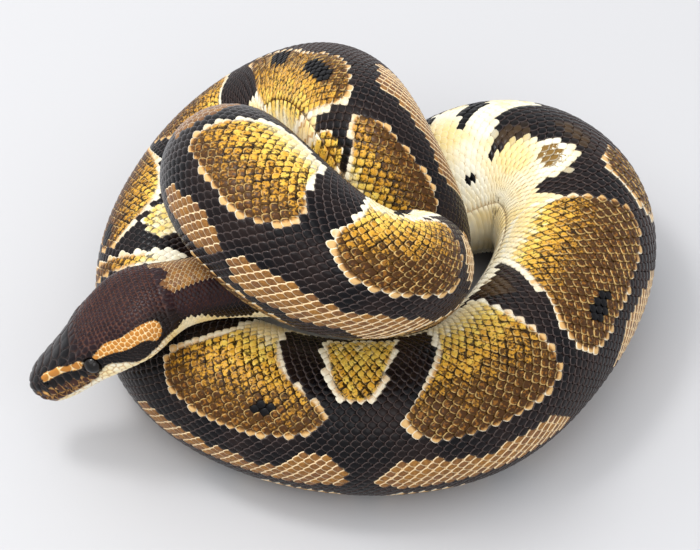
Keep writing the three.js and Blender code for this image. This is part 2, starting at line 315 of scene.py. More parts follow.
tanBlotches = {
    "nape": [
        (58, 22), (59.5, 36), (63, 46), (68, 44), (76, 47), (84, 44), (90, 30), (91, -14), (86, -36),
        (72, -45), (62, -41), (56.5, -30), (57.5, -15), (60.5, -9), (61.5, 4), (60.5, 16),
    ],
    "capTurn": [(153, -20), (154, 8), (156, 26), (160, 35), (163, 28), (165, 10), (163, -14), (158, -30)],
    "capBack": [
        (172, -60), (171, -36), (174, -18), (181, -8), (190, -5), (198, 4), (208, 10), (215, 2),
        (216, -13), (211, -24), (200, -27), (187, -30), (184, -46), (184, -64),
    ],
    "capLeft": [(218, -5), (220, 9), (227, 16), (238, 13), (245, 4), (244, -7), (236, -13), (226, -15)],
    "capEnd": [(251, 36), (250, 60), (252, 84), (256, 96), (263, 84), (266, 60), (263, 40), (256, 30)],
    "rightBack": [
        (462, -12), (464, 6), (470, 10), (477, 14), (484, 19), (491, 13), (497, 3), (500, -8), (492, -18),
        (474, -18),
    ],
    "frontBack": [
        (519, -14), (523, 0), (529, 12), (537, 13), (545, 8), (552, 9), (558, 15), (565, 18), (571, 12),
        (575, 2), (574, -11), (562, -16), (540, -14),
    ],
    "leftBack": [
        (582, -12), (582, 8), (585, 19), (590, 23), (595, 16), (599, 4), (605, -2), (614, 2), (621, -1),
        (627, 3), (633, -1), (639, 3), (644, -2), (645, -10), (640, -20), (624, -16), (600, -15),
    ],
    "backBack": [
        (823, 48), (830, 60), (836, 69), (839, 73), (842, 66), (845, 58), (851, 55), (857, 53), (860, 57),
        (863, 62), (867, 56), (871, 48), (875, 34), (870, 10), (850, 4), (834, 14),
    ],
    "eyeFront": [
        (9.2, 66), (10, 60), (10, 50), (10.2, 43), (11.7, 40), (13, 42), (14.5, 45), (17, 46.5),
        (18.5, 44.5), (19.5, 50), (21, 54), (22.5, 57), (24.5, 57), (26.2, 55.5), (27.4, 58), (27.4, 65),
        (26.2, 70), (25.2, 76), (23.8, 77), (22.8, 74), (21, 70), (19, 67), (16.5, 66), (14, 66.5),
        (12, 68),
    ],
    "eyeBehind": [
        (31.4, 64), (32, 68), (34, 69), (36.5, 69), (38.5, 72), (40.5, 75), (43, 77), (46.5, 76.5),
        (48.5, 80), (49.5, 85), (50.5, 90), (52.5, 90), (53.9, 84), (54.2, 75), (53.8, 66), (52, 59),
        (49.5, 55), (46, 54), (42, 54.5), (40, 52), (38, 49.5), (36, 49.5), (34.5, 53.5), (32.5, 57),
        (31.4, 60),
    ],
}
creamAreas = {
    "rightBelly": [
        (380, 186), (385, 120), (389, 60), (394, 44), (420, 44), (417, 62), (413, 75), (410, 86),
        (410, 100), (407, 112), (405, 123), (410, 116), (415, 109), (420, 102), (426, 97), (431, 90),
        (434, 84), (440, 82), (445, 89), (448, 100), (448, 112), (447, 121), (453, 120), (458, 112),
        (459, 100), (466, 122), (480, 132), (497, 132), (498, 150), (492, 186),
    ],
    "lip": [
        (29.2, 91), (30.5, 90), (31.5, 87), (33, 85.5), (34.5, 86.5), (36, 90), (37.5, 91.5), (38.5, 96),
        (40, 102), (43, 107), (45.5, 105.5), (47.5, 101), (50, 102.5), (52, 99), (54, 100.5), (57, 102),
        (59, 102), (62, 98), (65, 99), (68, 107), (71, 117), (75, 131), (80, 141), (86, 148), (90, 152),
        (90, 182), (5, 182), (5, 140), (8, 122), (14, 116), (22, 112), (26, 108), (27.6, 100), (28.3, 94),
    ],
    "gulletRight": [(255, 120), (262, 104), (276, 100), (290, 112), (300, 128), (290, 186), (255, 186)],
}
blackSpots = {
    "rightLarge": [(490, 48), (494, 55), (499, 54), (504, 48), (503, 41), (497, 38), (491, 42)],
    "frontLeft": [(602, 48), (604, 54), (607.5, 53), (610, 48), (608, 43.5), (604.5, 42)],
    "backTop": [
        (814, 112), (817, 120), (824, 121), (830, 117), (831, 110), (828, 104), (822, 102), (816, 105),
    ],
    "backWedge": [
        (788, 90), (790, 102), (795, 112), (803, 117), (802, 108), (797, 96), (793, 86), (789, 84),
    ],
    "rightStreak": [
        (396, 87), (400, 88), (403, 78), (406.5, 62), (407, 45), (405.5, 30), (405, 12), (403, 0),
        (401, 1), (402, 14), (401.5, 28), (403, 42), (402.5, 58), (399.5, 66), (400, 76),
    ],
    "rightLow": [(389, 64), (392, 62), (394, 45), (396, 20), (393, 17), (390, 32), (389, 48)],
    "rightLine": [(390, 127.5), (396, 125), (400, 126.5), (396, 130), (391, 130.5)],
    "capStreak": [
        (136, 0), (139, 30), (143, 60), (148, 82), (155, 100), (162, 113), (169, 119), (176, 113),
        (181.5, 97), (178, 97), (173, 108), (168, 110.5), (162, 103), (156, 90), (150, 72), (146, 52),
        (143, 28), (140, 0),
    ],
    "loopMark": [(688, 30), (690, 40), (696, 38), (698, 28), (692, 24)],
}
brownSpots = {
    "lobe": [(430, 98), (432, 108), (437, 114), (442, 108), (442, 96), (436, 90)],
    "wedge": [(409, 107), (413, 112), (418, 104), (423, 97), (421, 88), (415, 90), (411, 98)],
    "wedgeLow": [(424, 74), (432, 82), (440, 76), (438, 64), (428, 62)],
    "barBelly": [(502, 128), (505, 138), (514, 140), (517, 124), (514, 104), (508, 104), (504, 116)],
}
# hidden sides: middle and half length of each blotch, or first, last and spacing of their middles
hiddenBlotches = {
    "left": [(112, 20), (284, 30), (322, 32), (358, 30), (658, 18), (898, 30), (934, 20)],
    "rightFirst": 84, "rightSpacing": 41, "rightLast": 945,
    "backs": [(104, 20), (122, 14), (286, 26), (324, 22), (362, 26), (404, 24), (430, 18), (668, 20),
              (700, 26), (742, 30), (784, 24), (806, 14), (900, 22), (930, 16)],
}
bareBlotches = ("backOlive", "loopSpot", "neck")  # the small scales of these have no pale border
markSize = {
    "border": 2.5, "fullDegree": 0.47,   # width of a pale border, and mm to a degree where it is that wide
    "bellyFrom": 140.0, "bellyWave": 5.0,
    "bellyTurns": [(850, 20, 24), (172, 22, -22)],  # place, reach, and how many degrees later it begins
    "headEnd": 58.0, "headWidth": 12.0, "goldStaysFrom": 460, "bareDepth": 9.0,
}


def roundedOutline(points, rounds=2):
    points = np.array(points, float)
    for _ in range(rounds):
        after = np.roll(points, -1, axis=0)
        points = np.stack([0.75 * points + 0.25 * after, 0.25 * points + 0.75 * after], 1).reshape(-1, 2)
    return points


# how deep, in mm, each place lies inside an outline; negative outside
def depthInside(outline, s, degrees, perDegree):
    points = roundedOutline(outline)
    depth = np.full(s.shape, -99.0)
    low, high = points.min(0), points.max(0)
    near = (s > low[0] - 8) & (s < high[0] + 8) & (degrees > low[1] - 16) & (degrees < high[1] + 16)
    if not near.any():
        return depth
    x, y, scale = s[near], degrees[near], perDegree[near]
    best = np.full(x.shape, 1e9)
    inside = np.zeros(x.shape, bool)
    for (ax, ay), (bx, by) in zip(points, np.roll(points, -1, axis=0)):
        ex, ey = bx - ax, (by - ay) * scale
        px, py = x - ax, (y - ay) * scale
        share = np.clip((px * ex + py * ey) / (ex * ex + ey * ey + 1e-9), 0, 1)
        best = np.minimum(best, np.hypot(px - ex * share, py - ey * share))
        if ay != by:
            crosses = ((ay > y) != (by > y)) & (x < ax + (y - ay) * (bx - ax) / (by - ay))
            inside ^= crosses
    depth[near] = np.where(inside, best, -best)
    return depth


# a blotch of the flank in the same manner, for the sides that lie hidden
def flankOutline(middle, half, sign, lean):
    form = [
        (-1, 62), (-0.95, 44), (-0.6, 31), (0, 28), (0.6, 29), (0.95, 42), (1, 62), (0.8, 84),
        (0.62, 108), (0.66, 142), (-0.62, 142), (-0.6, 110), (-0.8, 86),
    ]
    return [(middle + half * a + lean * (t - 70) / 12, sign * t) for a, t in form]


def backOutline(middle, half, tilt):
    form = [
        (-1, -3), (-0.8, 8), (-0.3, 13), (0.2, 9), (0.7, 14), (1, 3), (0.85, -9), (0.3, -13), (-0.4, -9),
        (-0.8, -12),
    ]
    return [(middle + half * a, t + tilt) for a, t in form]


def hiddenMarks():
    gold, tan = {}, {}
    for i, (middle, half) in enumerate(hiddenBlotches["left"]):
        gold[f"hiddenLeft{i}"] = (52, 124, flankOutline(middle, half * 0.62, 1, rng.uniform(-2, 2)))
    middle, i = hiddenBlotches["rightFirst"], 0
    while middle < hiddenBlotches["rightLast"]:
        half = rng.uniform(13, 18) * (0.75 if middle < 120 or middle > 880 else 1.0)
        gold[f"hiddenRight{i}"] = (52, 124, flankOutline(middle, half, -1, rng.uniform(-3, 3)))
        middle, i = middle + hiddenBlotches["rightSpacing"] * rng.uniform(0.88, 1.12), i + 1
    for i, (middle, half) in enumerate(hiddenBlotches["backs"]):
        tan[f"hiddenBack{i}"] = backOutline(middle, half * 0.6, rng.uniform(-6, 6))
    return gold, tan


hiddenGold, hiddenTan = hiddenMarks()
allGold = {**goldBlotches, **hiddenGold}
allTan = {**tanBlotches, **hiddenTan}
print("markings", len(allGold), "gold and", len(allTan), "tan blotches")


# angles counted from -90 to 270, and the same from -180 to 180
def bothTurns(degrees):
    degrees = (np.asarray(degrees, float) + 90) % 360 - 90
    return degrees, np.where(degrees > 180, degrees - 360, degrees)


# each gold blotch: its name, the angle as its outline counts it, and the depth inside it
def goldDepths(s, degrees, perDegree):
    degrees, mirrored = bothTurns(degrees)
    for name, blotch in allGold.items():
        place = mirrored if name.startswith("hiddenRight") else degrees
        yield name, place, depthInside(blotch[2], s, place, perDegree)


def markGold(marks, s, degrees, perDegree):
    border = markSize["border"] * np.clip(perDegree / markSize["fullDegree"], 0.45, 1)
    for name, place, depth in goldDepths(s, degrees, perDegree):
        brownEnds, creamBegins = allGold[name][:2]
        inside = depth > 0
        turned = (np.abs(place) - brownEnds) / (creamBegins - brownEnds)
        wide = border * (0.8 + 0.35 * smoothStep(turned, 0.3, 0.8))
        marks["gold"][inside] = 1
        marks["warm"] = np.where(inside, np.clip(turned, -0.3, 1.3), marks["warm"])
        marks["cream"] = np.where(inside, smoothStep(turned, 0.72, 1.05), marks["cream"])
        marks["edge"] = np.where(inside, (depth < wide) * 1.0, marks["edge"])
    fading = 1 - smoothStep(marks["warm"], 0.85, 1.15)
    marks["fleck"] = marks["gold"] * smoothStep(marks["warm"], 0.0, 0.3) * fading


def markAreas(marks, s, degrees, perDegree):
    degrees, mirrored = bothTurns(degrees)
    for outline in allTan.values():
        inside = (depthInside(outline, s, mirrored, perDegree) > 0) & (marks["gold"] < 0.5)
        marks["tan"][inside] = 1
    for name, outline in creamAreas.items():
        depth = depthInside(outline, s, np.abs(mirrored) if name == "lip" else degrees, perDegree)
        inside = depth > 0
        cream = np.maximum(marks["cream"], smoothStep(depth, -1, 1))
        marks["cream"] = np.where(inside, cream, marks["cream"])
        goldStays = (name == "rightBelly") & (s > markSize["goldStaysFrom"])
        marks["gold"] = np.where(inside & ~goldStays, 0, marks["gold"])
        marks["tan"] = np.where(inside, 0, marks["tan"])
    for outline in blackSpots.values():
        inside = depthInside(outline, s, degrees, perDegree) > 0
        marks["dark"] = np.maximum(marks["dark"], inside * 1.0)
    for outline in brownSpots.values():
        share = smoothStep(depthInside(outline, s, degrees, perDegree), -0.5, 2.5)
        marks["brown"] = np.maximum(marks["brown"], share)


# warm brown crown and nape, brown lips of the snout, and painted shade in the hollows of the pits and
# nostrils
def markHead(marks, s, aside):
    side = 40 + 45 * smoothStep(s, 54, 66)
    marks["crown"] = smoothStep(s, 22, 34) * (1 - smoothStep(s, 88, 100))
    marks["crown"] *= 1 - smoothStep(aside, side, side + 24)
    marks["lip"] = (1 - smoothStep(s, 24, 29)) * smoothStep(aside, 86, 94) * smoothStep(s, 1, 4)
    holes = [(*headDetail["nostril"], headDetail["nostrilShade"])]
    holes += [(*pit, headDetail["pitShade"]) for pit in headDetail["pits"]]
    # the hollows of nostrils and pits are painted dark as shade
    for place, turn, radius in holes:
        away = np.hypot(s - place, (aside - turn) * headPerDegree(s))
        dark = (s < 30) * (1 - smoothStep(away, radius * 0.8, radius * 1.2))
        marks["dark"] = np.maximum(marks["dark"], dark)


def headPerDegree(s):
    return np.radians(1) * np.maximum(tableAt(headForm, s, 1), 2)


# shares of each marking at places on the body
def markingsAt(s, degrees):
    s = np.asarray(s, float)
    aside = np.abs(bothTurns(degrees)[1])
    inHead = s < markSize["headEnd"]
    perDegree = np.radians(1) * np.where(inHead, markSize["headWidth"], pathAt(s)[..., 3])
    names = ("gold", "tan", "cream", "warm", "edge", "fleck", "brown", "dark")
    marks = {name: np.zeros(s.shape) for name in names}
    wave = np.sin(s / 9.0) + 0.6 * np.sin(s / 4.1 + 1)
    bellyFrom = markSize["bellyFrom"] + markSize["bellyWave"] * wave
    for middle, reach, turn in markSize["bellyTurns"]:
        bellyFrom = bellyFrom + turn * hill(s - middle, reach)
    marks["cream"] = np.where((aside > bellyFrom) & (s > markSize["headEnd"]), 1.0, 0.0)
    markGold(marks, s, degrees, perDegree)
    markAreas(marks, s, degrees, perDegree)
    markHead(marks, s, aside)
    return marks


# depth inside the gold blotches alone; one without a border counts as deep all over
def borderDepth(s, degrees):
    best = np.zeros(s.shape)
    for name, _, depth in goldDepths(s, degrees, np.radians(1) * pathAt(s)[..., 3]):
        best = np.maximum(best, depth)
        if name in bareBlotches:
            best = np.where(depth > 0, markSize["bareDepth"], best)
    return best


# points in mm as the body line counts them; the faces of one block have the same number of corners
def meshObject(name, points, faces):
    mesh = bpy.data.meshes.new(name)
    loops = np.concatenate([np.asarray(block, np.int32).ravel() for block in faces])
    sizes = np.concatenate([np.full(len(block), len(block[0]), np.int32) for block in faces])
    starts = np.concatenate([[0], np.cumsum(sizes)[:-1]]).astype(np.int32)
    shifted = (np.asarray(points, float) + frameShift) * mm
    mesh.vertices.add(len(points))
    mesh.vertices.foreach_set("co", shifted.astype(np.float32).ravel())
    mesh.loops.add(len(loops))
    mesh.loops.foreach_set("vertex_index", loops)
    mesh.polygons.add(len(sizes))
    mesh.polygons.foreach_set("loop_start", starts)
    mesh.polygons.foreach_set("use_smooth", np.ones(len(sizes), bool))
    mesh.update(calc_edges=True)
    piece = bpy.data.objects.new(name, mesh)
    bpy.context.scene.collection.objects.link(piece)
    return piece


# a colour for each point, which the materials read as four masks
def addColours(piece, name, columns):
    layer = piece.data.attributes.new(name, "FLOAT_COLOR", "POINT")
    layer.data.foreach_set("color", np.stack(columns, -1).astype(np.float32).ravel())


# how each point lies in its scale: toward the rear, across, and share of the way to the rim
def addLie(piece, rear, across, rim):
    layer = piece.data.attributes.new("lie", "FLOAT_VECTOR", "POINT")
    layer.data.foreach_set("vector", np.stack([rear, across, rim], -1).astype(np.float32).ravel())


def addMap(piece, across, up):
    layer = piece.data.uv_layers.new(name="OFBake")
    places = np.stack(np.broadcast_arrays(across, up), -1).reshape(-1, 2)
    corners = np.zeros(len(piece.data.loops), np.int32)
    piece.data.loops.foreach_get("vertex_index", corners)
    layer.data.foreach_set("uv", places[corners].astype(np.float32).ravel())


def addMarks(piece, marks, seed):
    warmth = marks["warm"] * 0.5 + 0.25
    addColours(piece, "marksA", [marks["gold"], marks["tan"], marks["cream"], warmth])
    addColours(piece, "marksB", [marks["edge"], marks["fleck"], marks["brown"], marks["dark"]])
    addColours(piece, "marksC", [marks["crown"], marks["lip"], seed, np.ones_like(seed)])


def finishPiece(piece, material, nodes=()):
    piece.data.materials.append(material)
    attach(piece, "root")
    if nodes:
        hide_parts(*nodes)


# faces of a tube of rings, closed by a fan to one more point at each end
def tubeFaces(rings, columns, reverse=False):
    ring = np.arange(rings - 1)[:, None] * columns
    here = np.arange(columns)
    after = (here + 1) % columns
    quads = np.stack([ring + here, ring + after, ring + columns + after, ring + columns + here], -1)
    quads = quads.reshape(-1, 4)
    tip, last = rings * columns, (rings - 1) * columns
    caps = np.concatenate([
        np.stack([np.full(columns, tip), after, here], -1),
        np.stack([np.full(columns, tip + 1), last + here, last + after], -1),
    ])
    return [quads[:, [0, 3, 2, 1]], caps[:, [0, 2, 1]]] if reverse else [quads, caps]


# faces of one scale: walls ring by ring, a fan to its middle, and a flat underside
def scaleFaces(count, rings):
    i = np.arange(count)
    j = (i + 1) % count
    last = (rings - 1) * count
    wall = np.stack([i, j, j + count, i + count], -1)
    walls = np.concatenate([wall + k * count for k in range(rings - 1)])
    crown = np.stack([i + last, j + last, np.full(count, last + count)], -1)
    under = np.stack([np.zeros(count - 2, int), i[1:-1] + 1, i[1:-1]], -1)
    return walls, np.concatenate([crown, under])


# distance between the scales of one row, in mm
def pitchAt(s):
    return 0.55 + 0.0926 * pathAt(s)[..., 3]


def eyeAxis(sign):
    _, along, back, side = frameAt(eyeSize["along"])[:4]
    out, up, forward = eyeSize["faces"]
    axis = side * sign * out + back * up - along * forward
    return eyeCentre(sign), axis / np.linalg.norm(axis), along, back


# distance of points from the nearer eye's axis
def eyeDistance(points):
    best = np.full(points.shape[:-1], 99.0)
    for sign in (1, -1):
        centre, axis = eyeAxis(sign)[:2]
        away = points - centre
        depth = (away * axis).sum(-1)
        across = np.linalg.norm(away - depth[..., None] * axis, axis=-1)
        best = np.where(depth > -3, np.minimum(best, across), best)
    return best


# folds and hollows of the head, outward in mm
def reliefAt(s, angle, points):
    form = headDetail
    degrees = (np.degrees(angle) + 180) % 360 - 180
    aside = np.abs(degrees)
    c = np.cos(angle)
    height = np.where(c > 0, tableAt(headForm, s, 2), tableAt(headForm, s, 3))
    up = height * np.sign(c) * np.abs(c) ** (2 / tableAt(headForm, s, 4))
    mouth = up - tableAt(mouthLine, s, 1)
    lipShare = (1 - smoothStep(s, 44, 50)) * smoothStep(aside, 30, 60) * smoothStep(s, 0.6, 2)
    relief = -form["mouthGroove"] * hill(mouth, 0.42) * lipShare
    relief += form["upperLip"] * hill(mouth - 1.5, 0.9) * lipShare
    relief += form["lowerLip"] * hill(mouth + 1.4, 0.9) * lipShare
    front = smoothStep(s, 6, 12) * (1 - smoothStep(s, 27, 33))
    relief += form["canthus"] * hill(aside - 50, 9) * front
    relief -= form["hollow"] * hill(aside - 76, 10) * front
    relief += form["brow"] * hill(aside - 46, 9) * hill(s - 30, 5)
    relief -= form["midGroove"] * hill(degrees, 9) * hill(s - 44, 10)
    relief += form["crownSwell"] * hill(aside - 30, 12) * hill(s - 45, 9)
    place, turn = form["nostril"]
    nostril = np.hypot(s - place, (aside - turn) * headPerDegree(s))
    relief += form["nostrilRim"] * hill(nostril - 1.2, 0.5) - form["nostrilDepth"] * hill(nostril, 0.62)
    for place, turn in form["pits"]:
        pit = np.hypot((s - place) * 1.6, (aside - turn) * headPerDegree(s))
        relief -= form["pitDepth"] * hill(pit, 0.7)
    eye = eyeDistance(points)
    relief -= form["socket"] * (1 - smoothStep(eye, 2.1, 3.3))
    relief += form["lid"] * hill(eye - 3.75, 0.55)
    return relief * (1 - smoothStep(s, *form["reliefEnds"]))


# a place on the dressed body: height is measured out from the surface of the solids
def onBody(s, angle, height):
    s, angle, height = np.broadcast_arrays(s, angle, height)
    shape = s.shape
    s, angle, height = s.ravel(), angle.ravel(), height.ravel()
    points = bodyPoint(s, angle)
    lifted = height.astype(float).copy()
    head = s < headDetail["reliefEnds"][1]
    lifted[head] += reliefAt(s[head], angle[head], points[head])
    points = points + bodyNormal(s, angle) * lifted[:, None]
    points[:, 2] = np.maximum(points[:, 2], 0.02)
    return points.reshape(shape + (3,))


# skin: one surface from snout to tail tip, a little below the scales
skinForm = {
    "columns": 144, "headStep": 0.55, "neckStep": 1.0, "bodyStep": 2.1,
    "bodyDepth": 0.24,       # share of the scales' spacing
    "headDepth": 0.34, "floorGap": 0.15,
}


def buildSkin(material):
    form = skinForm
    places = np.concatenate([
        [0.05, 0.35, 0.7], np.arange(1.1, 60, form["headStep"]), np.arange(60, 90, form["neckStep"]),
        np.arange(90, bodyLength - 1, form["bodyStep"]), [bodyLength - 0.6, bodyLength],
    ])
    columns = form["columns"]
    angles = np.arange(columns) * 2 * math.pi / columns
    s, angle = np.meshgrid(places, angles, indexing="ij")
    headShare = 1 - smoothStep(s, 50, 64)
    depth = form["headDepth"] * headShare + form["bodyDepth"] * pitchAt(s) * (1 - headShare)
    points = onBody(s, angle, -depth).reshape(-1, 3)
    points[:, 2] = np.maximum(points[:, 2], form["floorGap"])
    points = np.vstack([points, points[:columns].mean(0), points[-columns:].mean(0)])
    piece = meshObject("pythonSkin", points, tubeFaces(len(places), columns))
    allS = np.append(s.ravel(), [0.0, bodyLength])
    degrees = np.degrees(np.append(angle.ravel(), [0.0, 0.0]))
    addMarks(piece, markingsAt(allS, degrees), np.full(len(points), 0.5))
    addLie(piece, np.zeros(len(points)), np.zeros(len(points)), np.ones(len(points)))
    addMap(piece, 0.02 + 0.96 * allS / bodyLength, 0.02 + 0.96 * (degrees % 360) / 360)
    skinNodes = [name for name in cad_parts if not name.startswith("eye")]
    finishPiece(piece, material, skinNodes)


# small scales of the back and flanks; sizes of one scale are shares of its row's spacing
scaleForm = {
    "zones": [(57.2, 118, 39), (118, 884, 59), (884, 915, 41), (915, 954.5, 23)],  # from, to, rows
    "bellyEdge": 152.0,      # angle where the broad belly scales begin
    "middleShare": 0.86,     # how much narrower the rows of the back are
    "outline": [0, 26, 56, 90, 126, 180, 234, 270, 304, 334],
    "power": 1.6, "rearReach": 1.16, "frontReach": 0.95, "sideReach": 0.82,
    "rearHeight": -0.045, "frontHeight": -0.21, "crownHeight": 0.09, "rootHeight": -0.3,
    "crownShare": 0.64, "rootRim": 1.15,
    "sizeShake": 0.02, "placeShake": 0.03, "turnShake": 0.02,
    "halves": 478.0,         # the coat parts here into a fore and a rear half
    "patch": 0.00135,
}


# seat of each small scale: place, angle, width in degrees, and right, middle or left third
def scaleSeats():
    seats = []
    edge, share = scaleForm["bellyEdge"], scaleForm["middleShare"]
    for start, end, rows in scaleForm["zones"]:
        fine = np.linspace(start, end, 4000)
        counted = np.concatenate([[0], np.cumsum(np.diff(fine) / pitchAt((fine[1:] + fine[:-1]) / 2))])
        most = (rows - 1) // 2
        for row in range(-most, most + 1):
            # every other row is half a scale further on
            turns = np.arange(0.25 if row % 2 else 0.75, counted[-1], 1.0)
            x = row / (most + 0.5)
            degrees = edge * (share * x + (1 - share) * x**3)
            width = edge * (share + 3 * (1 - share) * x**2) / (most + 0.5)
            third = (row + most) * 3 // rows
            seat = np.broadcast_arrays(np.interp(turns, counted, fine), degrees, width, third)
            seats.append(np.column_stack(seat))
    return np.vstack(seats)


# one small scale: how far each of its points lies rearward, across, outward and toward the rim
def scaleShape():
    form = scaleForm
    turn = np.radians(form["outline"])
    reach = np.where(np.cos(turn) > 0, form["rearReach"], form["frontReach"])
    rear = np.sign(np.cos(turn)) * np.abs(np.cos(turn)) ** (2 / form["power"]) * reach
    side = np.sign(np.sin(turn)) * np.abs(np.sin(turn)) ** (2 / form["power"]) * form["sideReach"]
    share, count = form["crownShare"], len(turn)
    a = np.concatenate([rear, rear, rear * share, [0.0]])
    b = np.concatenate([side, side, side * share, [0.0]])
    rim = np.concatenate([np.full(count, form["rootRim"]), np.ones(count), np.full(count, share), [0.0]])
    slope = (form["rearHeight"] - form["frontHeight"]) / (form["rearReach"] + form["frontReach"])
    height = form["frontHeight"] + slope * (a + form["frontReach"]) + form["crownHeight"] * (1 - rim**2)
    height[:count] = form["rootHeight"]
    return a, b, height, rim


def buildScales(material):
    form = scaleForm
    seats = scaleSeats()
    jitter = rng.normal(0, 1, (len(seats), 3))
    total = 0
    for half, span in (("scalesFore", (0.0, form["halves"])), ("scalesRear", (form["halves"], bodyLength))):
        inHalf = (seats[:, 0] > span[0]) & (seats[:, 0] <= span[1])
        for third, side in enumerate(("Right", "Back", "Left")):
            chosen = inHalf & (seats[:, 3] == third)
            total += buildScalePiece(half + side, seats[chosen], jitter[chosen], span, material)
    print("scales in all:", len(seats), total)


# the scales of one piece; span is the length of body that its half covers
def buildScalePiece(name, seats, shake, span, material):
    form = scaleForm
    a, b, height, rim = scaleShape()
    quads, tris = scaleFaces(len(form["outline"]), 3)
    per, count = len(a), len(seats)
    s0, d0, width = seats[:, 0], seats[:, 1], seats[:, 2]
    pitch = pitchAt(s0)
    size = 1 + form["sizeShake"] * shake[:, 0]
    length, across = pitch / 2 * size, width * size
    s = s0[:, None] + length[:, None] * a + form["placeShake"] * pitch[:, None] * shake[:, 1:2]
    degrees = d0[:, None] + across[:, None] * b + form["turnShake"] * width[:, None] * shake[:, 2:3]
    points = onBody(np.clip(s, 1, bodyLength - 0.3), np.radians(degrees), height * pitch[:, None])
    offset = (np.arange(count) * per)[:, None, None]
    faces = [(quads[None] + offset).reshape(-1, 4), (tris[None] + offset).reshape(-1, 3)]
    piece = meshObject(name, points.reshape(-1, 3), faces)
    seed = rng.uniform(0, 1, count)
    marks = {key: np.repeat(value, per) for key, value in markingsAt(s0, d0).items()}
    # pale borders run smoothly over the scales, wider toward the belly
    gold = marks["gold"] > 0.5
    wide = 1 + 0.8 * smoothStep(marks["warm"][gold], 0.2, 0.7)
    wide = wide * np.clip(np.repeat(pitch, per)[gold] / 3, 0.5, 1)
    deep = borderDepth(s.ravel()[gold], degrees.ravel()[gold]) / wide
    marks["edge"][gold] = 1 - smoothStep(deep, 0.4, 1.4)
    addMarks(piece, marks, np.repeat(seed, per))
    addLie(piece, np.tile(a, count), np.tile(b, count), np.tile(rim, count))
    rootU = 0.01 + 0.98 * (s0 - span[0]) / (span[1] - span[0])
    rootV = 0.01 + 0.98 * (d0 - d0.min()) / (np.ptp(d0) + 1)
    addMap(piece, rootU[:, None] + a * form["patch"], rootV[:, None] + b * form["patch"])
    finishPiece(piece, material)
    triangles = len(faces[0]) * 2 + len(faces[1])
    print(name, count, "scales", triangles, "triangles")
    return triangles


# broad scales of the belly, one plate to each rib
bellyForm = {
    "from": 62.0, "to": 949.0, "steps": 14, "edge": 154.0,
    "pitch": 4.07, "pitchGirth": 27,     # spacing where the body is this thick from its middle
    # front root, front, middle, rear and rear root: share of the spacing, height in mm
    "rows": [(-0.55, -0.51), (-0.5, -0.39), (0.05, -0.09), (0.6, -0.03), (0.56, -0.51)],
    "bow": 0.16, "endTaper": 0.3, "patch": 0.0025,
}


def bellyPitch(s):
    return bellyForm["pitch"] * (0.3 + 0.7 * pathAt(s)[:, 3] / bellyForm["pitchGirth"])


def buildBelly(material):
    form = bellyForm
    fine = np.linspace(form["from"], form["to"], 4000)
    counted = np.concatenate([[0], np.cumsum(np.diff(fine) / bellyPitch(fine)[1:])])
    seats = np.interp(np.arange(0.5, counted[-1], 1.0), counted, fine)
    pitch = bellyPitch(seats)[:, None, None]
    turn = np.linspace(form["edge"], 360 - form["edge"], form["steps"] + 1)
    curve = 1 - ((turn - 180) / (180 - form["edge"])) ** 2
    taper = 1 - form["endTaper"] * (1 - np.clip(curve * 2.2, 0, 1))
    rearShare, heights = np.array(form["rows"]).T
    s = seats[:, None, None] + pitch * rearShare[:, None] * taper + form["bow"] * pitch * curve
    degrees = np.broadcast_to(turn, s.shape)
    lift = heights[:, None] * pitch / form["pitch"]
    points = onBody(np.clip(s, 1, bodyLength - 0.3), np.radians(degrees), lift)
    rows, cols = len(rearShare), len(turn)
    r, c = np.meshgrid(np.arange(rows), np.arange(cols - 1), indexing="ij")
    nextRow = (r + 1) % rows
    quads = np.stack([nextRow * cols + c, nextRow * cols + c + 1, r * cols + c + 1, r * cols + c], -1)
    ends = []
    for ring in (np.arange(rows)[::-1] * cols, np.arange(rows) * cols + cols - 1):
        ends += [[ring[0], ring[k], ring[k + 1]] for k in range(1, rows - 1)]
    per = rows * cols
    offset = (np.arange(len(seats)) * per)[:, None, None]
    allQuads = (quads.reshape(1, -1, 4) + offset).reshape(-1, 4)
    allEnds = (np.array(ends)[None] + offset).reshape(-1, 3)
    piece = meshObject("bellyScutes", points.reshape(-1, 3), [allQuads, allEnds])
    seed = np.repeat(rng.uniform(0, 1, len(seats)), per)
    addMarks(piece, markingsAt(s.ravel(), degrees.ravel()), seed)
    rear = np.broadcast_to(rearShare[:, None] * 1.7, s.shape).ravel()
    addLie(piece, rear, np.zeros(rear.shape), np.abs(rear))
    rootU = 0.01 + 0.98 * seats[:, None, None] / bodyLength
    addMap(piece, rootU + rearShare[:, None] * form["patch"], 0.2 + 0.6 * (degrees - 150) / 60)
    finishPiece(piece, material)
    print("belly", len(seats), "scutes", len(allQuads) * 2 + len(allEnds), "triangles")


